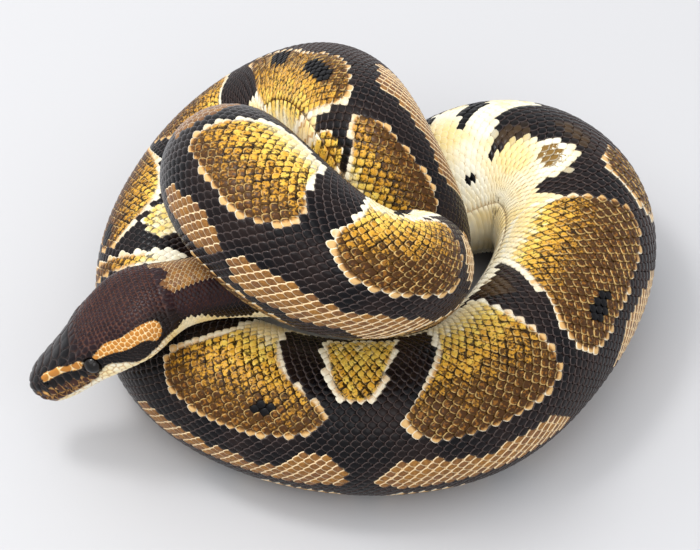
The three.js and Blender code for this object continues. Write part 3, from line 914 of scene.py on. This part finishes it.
# plates of the head: cells round seeds, large at the snout and lips, small on the crown
plateForm = {
    "large": [  # place back from the snout, angle; each also on the other side
        (4.6, 20), (8.6, 15), (13.5, 13), (18.6, 12), (23.4, 11), (28.0, 9), (6.3, 46), (11.4, 32),
        (16.0, 33), (20.8, 42), (22.6, 27), (25.6, 44), (27.6, 28), (30.4, 44), (32.0, 30), (33.6, 46),
        (11.0, 56), (15.8, 56), (20.7, 61), (24.9, 66), (6.2, 68), (3.6, 60), (8.4, 80), (12.3, 78),
        (15.6, 78), (18.8, 79), (21.8, 82), (24.6, 85),
    ],
    "middle": [(1.0, 0), (0.9, 180), (4.5, 180)],
    "upperLip": [2.7, 6.0, 9.2, 12.4, 15.6, 18.8, 22.2, 25.8, 29.6, 33.6, 37.6, 41.4],
    "lowerLip": [3.2, 6.6, 10.0, 13.4, 16.8, 20.2, 23.8, 27.6, 31.4, 35.2, 39.0, 42.6],
    "lipHeight": 1.7, "lidCount": 12, "lidRing": 4.15,
    "keepAway": (0, 1.9, 2.0, 1.45),     # distance of small scales from large plates, lips and lids
    "smallPitch": 1.62, "chinPitch": 2.3, "first": 2.2, "last": 58.6, "smallFrom": 27.5, "chinFrom": 100,
    "gap": 0.15, "reach": 7.0, "neighbours": 26, "smallest": 0.25,
    "eyeClear": 5.0, "eyeHole": 3.25, "eyeBare": 3.4, "nostrilHole": 1.0, "holeReach": 6,
    "rings": [(1.0, -0.42), (1.0, -0.24), (0.88, -0.1), (0.64, -0.04), (0.33, -0.01)],  # share, height
    "rootRim": 1.15, "edge": 0.6, "patch": 0.0054,
}


def lipAngle(s, above):
    wanted = tableAt(mouthLine, np.array(s), 1) + above
    height = tableAt(headForm, np.array(s), 2 if wanted > 0 else 3)
    power = tableAt(headForm, np.array(s), 4) / 2
    share = min(abs(wanted) / height, 0.98) ** power
    return math.degrees(math.acos(math.copysign(share, wanted)))


# the body's place and angle nearest to a point, found step by step
def nearestSeat(wanted, s, angle):
    for _ in range(12):
        here = bodyPoint(s, angle)
        ds = bodyPoint(s + 0.2, angle) - here
        da = bodyPoint(s, angle + 0.02) - here
        gap = wanted - here
        s = float(s + 0.2 * gap.dot(ds) / ds.dot(ds))
        angle = float(angle + 0.02 * gap.dot(da) / da.dot(da))
    return s, math.degrees(angle)


def lidSeeds(sign):
    centre, axis, along, _ = eyeAxis(sign)
    first = np.cross(axis, along)
    first /= np.linalg.norm(first)
    second = np.cross(axis, first)
    seeds = []
    for k in range(plateForm["lidCount"]):
        turn = 2 * math.pi * k / plateForm["lidCount"]
        ring = plateForm["lidRing"] * (first * math.cos(turn) + second * math.sin(turn))
        seat = nearestSeat(centre + axis + ring, eyeSize["along"], math.radians(72) * sign)
        seeds.append((*seat, 3))
    return seeds


def smallSeeds():
    form = plateForm
    seeds = []
    s = form["first"]
    turns = np.linspace(-180, 180, 181)
    while s < form["last"]:
        ring = bodyPoint(np.full(len(turns), s), np.radians(turns))
        travelled = np.concatenate([[0], np.cumsum(np.linalg.norm(np.diff(ring, axis=0), axis=1))])
        place = rng.uniform(0, 1)
        while place < travelled[-1] - 0.6:
            degrees = float(np.interp(place, travelled, turns))
            chinShare = float(smoothStep(abs(degrees), 100, 120))
            spacing = form["smallPitch"] + (form["chinPitch"] - form["smallPitch"]) * chinShare
            spacing *= 1 + 0.25 * float(smoothStep(abs(degrees), 35, 60)) * (s > 30)
            seeds.append((s + rng.normal(0, 0.12), degrees, 0))
            place += spacing * rng.uniform(0.92, 1.08)
        s += form["smallPitch"] * 0.86
    return np.array(seeds)


# seeds of the plates as place, angle and kind: 0 small, 1 large, 2 lip, 3 eyelid
def plateSeeds():
    form = plateForm
    seeds = [(s, turn * sign, 1) for s, turn in form["large"] for sign in (1, -1)]
    seeds += [(s, turn, 1) for s, turn in form["middle"]]
    for name, above in (("upperLip", form["lipHeight"]), ("lowerLip", -form["lipHeight"])):
        for s in form[name]:
            seeds += [(s, sign * lipAngle(s, above), 2) for sign in (1, -1)]
    kept = np.array(seeds + lidSeeds(1) + lidSeeds(-1))
    keptPoints = bodyPoint(kept[:, 0], np.radians(kept[:, 1]))
    keepAway = np.array(form["keepAway"])[kept[:, 2].astype(int)]
    small = smallSeeds()
    smallPoints = bodyPoint(np.maximum(small[:, 0], 0.5), np.radians(small[:, 1]))
    away = np.linalg.norm(smallPoints[:, None] - keptPoints[None], axis=-1)
    clear = (away > keepAway[None]).all(1) & (eyeDistance(smallPoints) > form["eyeClear"])
    wanted = (small[:, 0] > form["smallFrom"]) | (np.abs(small[:, 1]) > form["chinFrom"])
    seeds = np.vstack([kept, small[clear & wanted]])
    points = bodyPoint(seeds[:, 0], np.radians(seeds[:, 1]))
    keep = eyeDistance(points) > form["eyeBare"]
    return seeds[keep], points[keep]


# the part of a flat cell on the near side of a line
def clipCell(polygon, normal, limit):
    out = []
    for p, q in zip(polygon, polygon[1:] + polygon[:1]):
        dp = p[0] * normal[0] + p[1] * normal[1] - limit
        dq = q[0] * normal[0] + q[1] * normal[1] - limit
        if dp <= 0:
            out.append(p)
        if (dp < 0) != (dq < 0) and dp != dq:
            share = dp / (dp - dq)
            out.append((p[0] + (q[0] - p[0]) * share, p[1] + (q[1] - p[1]) * share))
    return out


def denserOutline(points, most):
    out = []
    for p, q in zip(points, np.roll(points, -1, axis=0)):
        parts = max(int(np.ceil(np.linalg.norm(q - p) / most)), 1)
        out += [p + (q - p) * k / parts for k in range(parts)]
    return np.array(out)


def signedArea(points):
    x, y = points[:, 0], points[:, 1]
    return 0.5 * np.sum(x * np.roll(y, -1) - y * np.roll(x, -1))


# flat cell of one plate: all that lies nearer to it than to its neighbours, less the holes
def plateCell(n, points, along, across, holes):
    form = plateForm
    away = points - points[n]
    distance = np.linalg.norm(away, axis=1)
    near = np.where((distance < form["reach"]) & (np.arange(len(points)) != n))[0]
    near = near[np.argsort(distance[near])][:form["neighbours"]]
    half = form["reach"] / 2
    cell = [(-half, -half), (half, -half), (half, half), (-half, half)]
    for m in near:
        flat = np.array([away[m].dot(along), away[m].dot(across)])
        length = np.linalg.norm(flat)
        if length < form["gap"]:
            continue
        cell = clipCell(cell, flat / length, distance[m] / 2 - form["gap"] / 2)
        if len(cell) < 3:
            return cell
    for hole, radius in holes:
        gap = hole - points[n]
        flat = np.array([gap.dot(along), gap.dot(across)])
        length = np.linalg.norm(flat)
        if len(cell) > 2 and np.linalg.norm(gap) < form["holeReach"] and length > radius / 2:
            cell = clipCell(cell, flat / length, length - radius)
    return cell


# steps of the surface to 1 mm along the body and to 1 radian round it
def surfaceSteps(s, angle):
    before = max(s - 0.1, 0.02)
    stepS = (bodyPoint(s + 0.1, angle) - bodyPoint(before, angle)) / (0.1 + min(0.1, s - 0.02))
    stepA = (bodyPoint(s, angle + 0.01) - bodyPoint(s, angle - 0.01)) / 0.02
    return stepS, stepA


def buildHeadPlates(material):
    form = plateForm
    seeds, points = plateSeeds()
    normals = bodyNormal(seeds[:, 0], np.radians(seeds[:, 1]))
    place, aside = headDetail["nostril"]
    holes = [(bodyPoint(place, math.radians(aside * sign)), form["nostrilHole"]) for sign in (1, -1)]
    for centre, axis, _, _ in (eyeAxis(1), eyeAxis(-1)):
        holes.append((centre + axis * 0.9, form["eyeHole"]))
    shares, heights = np.array(form["rings"]).T
    allS, allAngle, allLift, allLie, quads, tris, owners = [], [], [], [], [], [], []
    used = 0
    for n, (s0, turn, _) in enumerate(seeds):
        a0 = math.radians(turn)
        stepS, stepA = surfaceSteps(s0, a0)
        along = stepS - normals[n] * stepS.dot(normals[n])
        along /= np.linalg.norm(along)
        across = np.cross(normals[n], along)
        cell = plateCell(n, points, along, across, holes)
        if len(cell) < 3:
            continue
        cell = roundedOutline(cell, 1)
        area = signedArea(cell)
        if abs(area) < form["smallest"]:
            continue
        cell = denserOutline(cell[::-1] if area < 0 else cell, form["edge"])
        middle, count = cell.mean(0), len(cell)
        flat = np.vstack([middle + (cell - middle) * share for share in shares] + [[middle]])
        toFlat = np.array([[stepS.dot(along), stepA.dot(along)], [stepS.dot(across), stepA.dot(across)]])
        move = flat @ np.linalg.inv(toFlat).T
        rim = np.append(np.repeat(shares, count), 0.0)
        rim[:count] = form["rootRim"]
        unit = (flat - middle) / (np.linalg.norm(cell - middle, axis=1).mean() + 1e-6)
        walls, fans = scaleFaces(count, len(shares))
        allS.append(np.maximum(s0 + move[:, 0], 0.05))
        allAngle.append(a0 + move[:, 1])
        allLift.append(np.append(np.repeat(heights, count), 0.0))
        allLie.append(np.column_stack([unit, rim]))
        quads.append(walls + used)
        tris.append(fans + used)
        owners.append(np.full(len(flat), n))
        used += len(flat)
    s, angle, lift, owners = [np.concatenate(values) for values in (allS, allAngle, allLift, owners)]
    lie, quads, tris = np.vstack(allLie), np.vstack(quads), np.vstack(tris)
    piece = meshObject("headPlates", onBody(s, angle, lift), [quads, tris])
    # lips take their colour place by place, the rest mostly plate by plate
    perPlate = markingsAt(seeds[:, 0], seeds[:, 1])
    perPlace = markingsAt(s, np.degrees(angle))
    lips = seeds[owners, 2] == 2
    marks = {}
    for key in perPlate:
        byPlace = lips | (key in ("tan", "cream", "dark"))
        marks[key] = np.where(byPlace, perPlace[key], perPlate[key][owners])
    marks["edge"] = np.zeros(len(s))
    marks["warm"] = marks["tan"] * (s < 56)
    addMarks(piece, marks, rng.uniform(0, 1, len(seeds))[owners])
    addLie(piece, *lie.T)
    rootU = 0.02 + 0.96 * seeds[owners, 0] / 60
    rootV = 0.02 + 0.96 * (seeds[owners, 1] + 180) / 360
    addMap(piece, rootU + lie[:, 0] * form["patch"], rootV + lie[:, 1] * form["patch"])
    finishPiece(piece, material)
    print("head plates", len(np.unique(owners)), len(quads) * 2 + len(tris), "triangles")


# eyes: a ball with a bulging cornea and an upright slit
eyeForm = {
    "rings": 40, "columns": 64, "pupil": (0.16, 0.62), "cornea": 0.18, "inset": 0.03,
    "iris": (6, 4, 4), "irisFleck": (22, 15, 11), "rim": (10, 8, 8), "slit": (3, 3, 4), "grain": 2600.0,
}


def buildEyes(material):
    form = eyeForm
    for sign, node, name in ((1, "eye_left", "eyeBallLeft"), (-1, "eye_right", "eyeBallRight")):
        low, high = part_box(node)
        middle = np.array((low + high) / 2) / mm - frameShift
        _, axis, _, back = eyeAxis(sign)
        upright = back - axis * back.dot(axis)
        upright /= np.linalg.norm(upright)
        level = np.cross(axis, upright)
        polar = np.linspace(0, math.pi, form["rings"] + 1)[1:-1]
        turns = np.arange(form["columns"]) * 2 * math.pi / form["columns"]
        p, r = np.meshgrid(polar, turns, indexing="ij")
        cornea = form["cornea"] / eyeSize["radius"]
        bulge = (1 + cornea * hill(p, 0.55) - form["inset"])[..., None]
        x, y, z = np.sin(p) * np.cos(r), np.sin(p) * np.sin(r), np.cos(p)
        body = (x[..., None] * level + y[..., None] * upright + z[..., None] * axis) * bulge
        poles = np.stack([axis * (1 + cornea - form["inset"]), -axis * (1 - form["inset"])])
        points = middle + eyeSize["radius"] * np.vstack([body.reshape(-1, 3), poles])
        piece = meshObject(name, points, tubeFaces(len(polar), form["columns"], reverse=True))
        wide, tall = form["pupil"]
        across, upward = [np.append(values, [0, 0]) for values in (x, y)]
        facing = np.append(z, [1, -1])
        slit = (1 - smoothStep(np.hypot(across / wide, upward / tall), 0.9, 1.05)) * (facing > 0)
        blank = np.ones(len(slit))
        addColours(piece, "eyeParts", [slit, np.hypot(across, upward), blank, blank])
        piece.data.materials.append(material)
        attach(piece, "root")
        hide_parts(node)
    print("eyes made")


def srgb(red, green, blue):
    parts = [value / 255 for value in (red, green, blue)]
    return (*[((part + 0.055) / 1.055) ** 2.4 if part > 0.04045 else part / 12.92 for part in parts], 1.0)


scaleTint = {name: srgb(*numbers) for name, numbers in {
    # the near-black skin colour between the scales is partly painted shade in the gaps
    # the pale net colour of the black scales is partly painted reflection
    "ground": (7, 6, 9), "groundWarm": (31, 21, 19), "groundNetAndReflection": (112, 96, 92), "between": (4, 3, 4),
    "brown": (136, 88, 32), "gold": (218, 160, 52), "yellow": (244, 212, 98), "cream": (252, 245, 222),
    # the pale hind-rim colour serves pale stripe seams, and on gold scales also a painted glint
    "stain": (248, 218, 132), "rear": (244, 208, 136), "edgeLow": (206, 156, 92),
    "edgePale": (224, 182, 120), "tan": (132, 90, 56), "stripe": (190, 126, 54), "net": (246, 220, 178),
    "fleck": (18, 10, 6), "speckle": (58, 34, 14), "spot": (84, 64, 40), "dots": (134, 102, 48),
    "crown": (46, 28, 32), "seam": (134, 88, 72), "lip": (66, 38, 28), "lipEdge": (226, 172, 100),
}.items()}


def addNode(tree, kind, inputs=None, **settings):
    node = tree.nodes.new(kind)
    for name, value in settings.items():
        setattr(node, name, value)
    for key, value in (inputs or {}).items():
        if isinstance(value, bpy.types.NodeSocket):
            tree.links.new(value, node.inputs[key])
        else:
            node.inputs[key].default_value = value
    return node


def addMath(tree, operation, a, b=0.0):
    return addNode(tree, "ShaderNodeMath", {0: a, 1: b}, operation=operation).outputs[0]


def addMix(tree, factor, a, b):
    return addNode(tree, "ShaderNodeMix", {0: factor, 6: a, 7: b}, data_type="RGBA").outputs[2]


def addRange(tree, value, low, high, toLow=0.0, toHigh=1.0):
    return addNode(tree, "ShaderNodeMapRange", {0: value, 1: low, 2: high, 3: toLow, 4: toHigh}).outputs[0]


def addNoise(tree, scale, detail):
    place = addNode(tree, "ShaderNodeTexCoord").outputs["Object"]
    node = addNode(tree, "ShaderNodeTexNoise", {"Vector": place, "Scale": scale, "Detail": detail})
    return node.outputs["Fac"]


# short names for the nodes of one tree
class NodeTools:
    def __init__(self, tree):
        self.times = partial(addMath, tree, "MULTIPLY")
        self.plus = partial(addMath, tree, "ADD")
        self.minus = partial(addMath, tree, "SUBTRACT")
        self.larger = partial(addMath, tree, "MAXIMUM")
        self.size = partial(addMath, tree, "ABSOLUTE")
        self.mix = partial(addMix, tree)
        self.ramp = partial(addRange, tree)
        self.noise = partial(addNoise, tree)


markInputs = (
    "Gold", "Tan", "Cream", "Warm", "Edge", "Fleck", "Brown", "Dark", "Crown", "Lip", "Seed",
    "Rear", "Across", "Rim", "Between", "Line", "Head",
)
# noise of the scales: how many to a metre, and its detail
markNoise = {"cloud": (460.0, 2.0), "speck": (1050.0, 2.0), "clump": (400.0, 4.0), "broad": (60.0, 3.0)}
# how much of a colour each layer takes at most
markShare = {
    "speckle": 0.9, "fleck": 0.85, "goldSpot": 0.75, "groundSpot": 0.6, "groundLineAndReflection": 0.22,
    "groundHindAndReflection": 0.2, "giltLine": 0.6, "tanGold": 0.25, "tanSpeckle": 0.4, "stain": 0.8,
    "headSeam": 0.55, "whiten": 0.4, "edgeBrown": 0.4, "edgeLine": 0.8, "edge": 0.95,
    "crownSeam": 0.4, "creamNet": 0.75, "edgeNet": 0.5,
}


# masks that several layers use
def markMasks(t, come):
    mask = {name: t.noise(scale, detail) for name, (scale, detail) in markNoise.items()}
    # warmth runs from the brown end of a blotch to its cream end, a little different on each scale
    warm = t.times(t.minus(come["Warm"], 0.25), 2.0)
    warm = t.plus(warm, t.ramp(mask["cloud"], 0.3, 0.7, -0.15, 0.15))
    mask["warm"] = t.plus(warm, t.ramp(come["Seed"], 0.0, 1.0, -0.14, 0.14))
    # front margin, whole rim and hind rim of each scale
    mask["front"] = t.ramp(t.minus(come["Rear"], t.size(come["Across"])), -0.7, -0.05, 1.0, 0.0)
    mask["line"] = t.ramp(t.minus(come["Rim"], come["Line"]), 0.0, 0.12)
    mask["hind"] = t.times(mask["line"], t.ramp(come["Rear"], -0.05, 0.35))
    # fine grain, darker where the blotch is brown, and darker at the front margins as painted shade where
    # each scale tucks under the one ahead
    fine = t.plus(t.times(mask["speck"], 0.6), t.times(mask["cloud"], 0.4))
    fine = t.plus(fine, t.times(mask["front"], 0.08))
    mask["fine"] = t.minus(fine, t.ramp(mask["warm"], 0.0, 0.9, -0.09, 0.1))
    return mask


def goldLayer(t, come, mask):
    colour = scaleTint["brown"]
    for name, low, high in (("gold", 0.0, 0.42), ("yellow", 0.42, 0.8), ("cream", 0.8, 1.05)):
        colour = t.mix(t.ramp(mask["warm"], low, high), colour, scaleTint[name])
    speckle = t.ramp(mask["fine"], 0.5, 0.58, 0.0, markShare["speckle"])
    colour = t.mix(speckle, colour, scaleTint["speckle"])
    # pale hind edges, on some scales only: partly the scales' own pale rims, partly a painted glint of
    # light
    glint = t.plus(mask["cloud"], t.ramp(come["Seed"], 0.0, 1.0, -0.08, 0.08))
    colour = t.mix(t.times(mask["hind"], t.ramp(glint, 0.4, 0.56, 0.6, 0.05)), colour, scaleTint["rear"])
    # dark flecks from noise, plus painted shade that gathers them at the front margins under the scale
    # ahead
    fleck = t.plus(mask["clump"], t.times(mask["front"], 0.2))
    fleck = t.times(t.ramp(fleck, 0.61, 0.67), come["Fleck"])
    colour = t.mix(t.times(fleck, markShare["fleck"]), colour, scaleTint["fleck"])
    return t.mix(t.times(come["Brown"], markShare["goldSpot"]), colour, scaleTint["spot"])


def groundLayer(t, come, mask):
    colour = t.mix(t.ramp(mask["broad"], 0.42, 0.66), scaleTint["ground"], scaleTint["groundWarm"])
    # pale rims of the black scales, more at the hind rims: partly the pale net of skin, partly painted
    # reflection along the rims
    colour = t.mix(t.times(mask["line"], markShare["groundLineAndReflection"]), colour, scaleTint["groundNetAndReflection"])
    colour = t.mix(t.times(mask["hind"], markShare["groundHindAndReflection"]), colour, scaleTint["groundNetAndReflection"])
    colour = t.mix(t.times(come["Brown"], markShare["groundSpot"]), colour, scaleTint["spot"])
    # brown plates of the crown, with paler seams here and there
    crown = t.times(come["Crown"], t.ramp(mask["cloud"], 0.35, 0.65, 0.55, 1.0))
    colour = t.mix(crown, colour, scaleTint["crown"])
    seam = t.times(come["Crown"], t.ramp(come["Rim"], 0.72, 0.98))
    seam = t.times(seam, t.ramp(mask["clump"], 0.35, 0.65, 0.08, 0.6))
    colour = t.mix(seam, colour, scaleTint["seam"])
    # brown lips, gilt in patches and along the rims
    gilt = t.larger(t.ramp(mask["cloud"], 0.54, 0.7), t.times(mask["line"], markShare["giltLine"]))
    return t.mix(come["Lip"], colour, t.mix(gilt, scaleTint["lip"], scaleTint["lipEdge"]))


def tanLayer(t, come, mask):
    gold = t.ramp(come["Seed"], 0.0, 1.0, 0.0, markShare["tanGold"])
    colour = t.mix(gold, scaleTint["tan"], scaleTint["gold"])
    speckle = t.ramp(mask["fine"], 0.54, 0.64, 0.0, markShare["tanSpeckle"])
    colour = t.mix(speckle, colour, scaleTint["speckle"])
    colour = t.mix(mask["warm"], colour, scaleTint["stripe"])
    return t.mix(mask["line"], colour, t.mix(mask["warm"], scaleTint["net"], scaleTint["rear"]))


def creamLayer(t, come, mask):
    stain = t.ramp(mask["broad"], 0.4, 0.62, 0.0, markShare["stain"])
    colour = t.mix(stain, scaleTint["cream"], scaleTint["stain"])
    headSeam = t.times(t.times(mask["line"], come["Head"]), markShare["headSeam"])
    colour = t.mix(headSeam, colour, scaleTint["edgeLow"])
    # brown spots fade into the cream as dots
    dots = t.ramp(t.plus(mask["fine"], t.times(come["Brown"], 0.17)), 0.6, 0.64)
    dots = t.times(dots, t.ramp(come["Brown"], 0.02, 0.2))
    colour = t.mix(dots, colour, scaleTint["dots"])
    # the hind rims are cleaner, but not on the head
    whiten = t.minus(markShare["whiten"], t.times(come["Head"], markShare["whiten"]))
    return t.mix(t.times(mask["hind"], whiten), colour, scaleTint["cream"])


# pale border of a blotch, brown toward the back
def edgeLayer(t, come, mask):
    brown = t.ramp(mask["fine"], 0.52, 0.62, 0.0, markShare["edgeBrown"])
    low = t.mix(brown, scaleTint["edgeLow"], scaleTint["brown"])
    pale = t.mix(t.ramp(mask["warm"], 0.1, 0.6), scaleTint["edgePale"], scaleTint["cream"])
    paleShare = t.larger(t.ramp(come["Edge"], 0.45, 0.95), t.ramp(mask["warm"], 0.35, 0.75))
    line = t.times(mask["line"], markShare["edgeLine"])
    return t.mix(line, t.mix(paleShare, low, pale), scaleTint["cream"])


# skin between the scales: near-black, partly its own colour and partly painted shade in the gaps; brown in
# worn gold, pale under the tan net, the cream and the borders
def betweenLayer(t, come, mask):
    worn = t.times(come["Gold"], t.ramp(mask["clump"], 0.4, 0.6, 0.8, 0.1))
    colour = t.mix(worn, scaleTint["between"], scaleTint["brown"])
    colour = t.mix(t.times(come["Crown"], markShare["crownSeam"]), colour, scaleTint["seam"])
    pale = t.larger(come["Tan"], t.times(come["Cream"], markShare["creamNet"]))
    pale = t.larger(pale, t.times(come["Edge"], markShare["edgeNet"]))
    colour = t.mix(pale, colour, scaleTint["net"])
    # black spots, and the painted shade of nostrils and pits, on the skin too
    return t.mix(come["Dark"], colour, scaleTint["between"])


# colour, roughness and grain of the coat from its markings, layer over layer
def makeMarkingGroup():
    tree = bpy.data.node_groups.new("pythonMarkings", "ShaderNodeTree")
    for name in markInputs:
        tree.interface.new_socket(name, in_out="INPUT", socket_type="NodeSocketFloat")
    for name, kind in (("Color", "Color"), ("Roughness", "Float"), ("Grain", "Float")):
        tree.interface.new_socket(name, in_out="OUTPUT", socket_type="NodeSocket" + kind)
    come = addNode(tree, "NodeGroupInput").outputs
    t = NodeTools(tree)
    mask = markMasks(t, come)
    colour = groundLayer(t, come, mask)
    for share, layer in (
        (come["Gold"], goldLayer), (come["Tan"], tanLayer), (come["Cream"], creamLayer),
        (t.ramp(come["Edge"], 0.0, 0.5, 0.0, markShare["edge"]), edgeLayer),
    ):
        colour = t.mix(share, colour, layer(t, come, mask))
    # black spots, and the painted shade of nostrils and pits
    colour = t.mix(come["Dark"], colour, scaleTint["ground"])
    colour = t.mix(come["Between"], colour, betweenLayer(t, come, mask))
    # pale scales and the skin between are duller
    rough = t.ramp(mask["speck"], 0.3, 0.7, 0.17, 0.28)
    rough = t.plus(rough, t.times(t.larger(come["Gold"], come["Cream"]), 0.1))
    rough = t.plus(rough, t.times(come["Between"], 0.25))
    grain = t.plus(mask["speck"], mask["cloud"])
    addNode(tree, "NodeGroupOutput", {"Color": colour, "Roughness": rough, "Grain": grain})
    return tree


# between: 1 for the skin under the scales; line: where on a scale its rim begins;
# head: 1 where cream shows seams
scaleFinish = {
    "pythonSkin": {"between": 1.0, "line": 0.8, "head": 0.0, "coat": 0.0, "gloss": 0.3, "bump": 0.5},
    "pythonScale": {"between": 0.0, "line": 0.78, "head": 0.0, "coat": 0.02, "gloss": 0.15, "bump": 0.25},
    "pythonHead": {"between": 0.0, "line": 0.85, "head": 1.0, "coat": 0.03, "gloss": 0.15, "bump": 0.2},
}
grainDepth = 0.00012  # m


def startMaterial(name):
    material = bpy.data.materials.new(name)
    material.use_nodes = True
    material.node_tree.nodes.clear()
    return material, material.node_tree


# the four masks of a colour that addColours wrote
def storedMasks(tree, name):
    stored = addNode(tree, "ShaderNodeAttribute", attribute_name=name).outputs
    parts = addNode(tree, "ShaderNodeSeparateColor", {"Color": stored["Color"]}).outputs
    return [parts[0], parts[1], parts[2], stored["Alpha"]]


def makeScaleMaterial(name, group):
    finish = scaleFinish[name]
    material, tree = startMaterial(name)
    stored = [mask for layer in ("marksA", "marksB", "marksC") for mask in storedMasks(tree, layer)]
    lie = addNode(tree, "ShaderNodeAttribute", attribute_name="lie").outputs["Vector"]
    stored = stored[:11] + list(addNode(tree, "ShaderNodeSeparateXYZ", {0: lie}).outputs)
    given = dict(zip(markInputs, stored + [finish["between"], finish["line"], finish["head"]]))
    marked = addNode(tree, "ShaderNodeGroup", given, node_tree=group).outputs
    grain = {"Strength": finish["bump"], "Distance": grainDepth, "Height": marked["Grain"]}
    shader = addNode(tree, "ShaderNodeBsdfPrincipled", {
        "Base Color": marked["Color"], "Roughness": marked["Roughness"],
        "Normal": addNode(tree, "ShaderNodeBump", grain).outputs[0],
        "Coat Weight": finish["coat"], "Coat Roughness": 0.2, "Specular IOR Level": finish["gloss"],
    })
    addNode(tree, "ShaderNodeOutputMaterial", {"Surface": shader.outputs[0]})
    return material


def makeEyeMaterial():
    material, tree = startMaterial("pythonEye")
    slit, away = storedMasks(tree, "eyeParts")[:2]
    grain = addNoise(tree, eyeForm["grain"], 3.0)
    tint = {name: srgb(*eyeForm[name]) for name in ("iris", "irisFleck", "rim", "slit")}
    colour = addMix(tree, addRange(tree, grain, 0.35, 0.7), tint["iris"], tint["irisFleck"])
    colour = addMix(tree, addRange(tree, away, 0.8, 0.95), colour, tint["rim"])
    colour = addMix(tree, slit, colour, tint["slit"])
    shader = addNode(tree, "ShaderNodeBsdfPrincipled", {
        "Base Color": colour, "Roughness": addRange(tree, grain, 0.0, 1.0, 0.03, 0.07),
        "Coat Weight": 0.1, "Coat Roughness": 0.02, "Specular IOR Level": 0.3,
    })
    addNode(tree, "ShaderNodeOutputMaterial", {"Surface": shader.outputs[0]})
    return material


markingGroup = makeMarkingGroup()
skinMaterial = makeScaleMaterial("pythonSkin", markingGroup)
scaleMaterial = makeScaleMaterial("pythonScale", markingGroup)
headMaterial = makeScaleMaterial("pythonHead", markingGroup)
print("materials made")
buildSkin(skinMaterial)
print("skin made")
buildScales(scaleMaterial)
buildBelly(scaleMaterial)
buildHeadPlates(headMaterial)
buildEyes(makeEyeMaterial())

studio = {
    "floor": srgb(199, 199, 201), "floorRoughness": 0.6, "floorHalf": 3.0,
    "world": 0.9, "worldColour": (0.97, 0.98, 1.0, 1.0), "aim": (0.0, 0.0, 0.03),
    "lamps": [  # name, place in m, width, watts, warmth
        ("keyLamp", (-0.68, 0.28, 1.0), 1.2, 3.0, (1.0, 0.99, 0.97)),
        ("skyLamp", (-0.45, -0.25, 1.35), 1.5, 6.6, (1.0, 1.0, 1.0)),
        ("fillLamp", (0.35, -0.9, 0.9), 0.8, 2.6, (0.98, 0.99, 1.0)),
        ("glintLamp", (-0.45, 0.1, 1.05), 0.26, 3.2, (1.0, 1.0, 1.0)),
    ],
}
cameraForm = {
    "target": (0.0, 0.0, 20.0), "distance": 1000.0, "elevation": 48.0,  # mm and degrees
    "sensor": 36.0, "mmPerPixel": 0.36, "pixelsWide": 700,
}


def addObject(name, data):
    thing = bpy.data.objects.new(name, data)
    bpy.context.scene.collection.objects.link(thing)
    return thing


def buildFloor():
    half = studio["floorHalf"]
    corners = [(-half, -half, 0.0), (half, -half, 0.0), (half, half, 0.0), (-half, half, 0.0)]
    mesh = bpy.data.meshes.new("paleFloor")
    mesh.from_pydata(corners, [], [(0, 1, 2, 3)])
    material = bpy.data.materials.new("paleFloor")
    material.use_nodes = True
    shader = material.node_tree.nodes["Principled BSDF"]
    shader.inputs["Base Color"].default_value = studio["floor"]
    shader.inputs["Roughness"].default_value = studio["floorRoughness"]
    floor = addObject("paleFloor", mesh)
    floor.data.materials.append(material)
    floor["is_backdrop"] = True


def buildLights():
    bpy.context.scene.view_settings.view_transform = "Standard"
    world = bpy.data.worlds.new("studio")
    bpy.context.scene.world = world
    world.use_nodes = True
    background = world.node_tree.nodes["Background"]
    background.inputs["Color"].default_value = studio["worldColour"]
    background.inputs["Strength"].default_value = studio["world"]
    for name, place, width, watts, warmth in studio["lamps"]:
        lamp = bpy.data.lights.new(name, "AREA")
        lamp.shape = "DISK"
        lamp.size = width
        lamp.energy = watts
        lamp.color = warmth
        holder = addObject(name, lamp)
        holder.location = place
        direction = Vector(studio["aim"]) - Vector(place)
        holder.rotation_euler = direction.to_track_quat("-Z", "Y").to_euler()


def buildCamera():
    form = cameraForm
    tilt = math.radians(form["elevation"])
    forward = np.array([0, math.cos(tilt), -math.sin(tilt)])
    lens = bpy.data.cameras.new("camera")
    lens.sensor_fit = "HORIZONTAL"
    lens.sensor_width = form["sensor"]
    lens.lens = form["sensor"] * form["distance"] / form["mmPerPixel"] / form["pixelsWide"]
    lens.clip_start = 0.05
    lens.clip_end = 20.0
    camera = addObject("camera", lens)
    camera.location = (np.array(form["target"]) + frameShift - forward * form["distance"]) * mm
    camera.rotation_euler = (math.radians(90) - tilt, 0, 0)
    bpy.context.scene.camera = camera


buildFloor()
buildLights()
buildCamera()
print("floor, lights and camera made")
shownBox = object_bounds()
print("boxes", [tuple(round(v, 4) for v in corner) for corner in (*cadBox, *shownBox)])
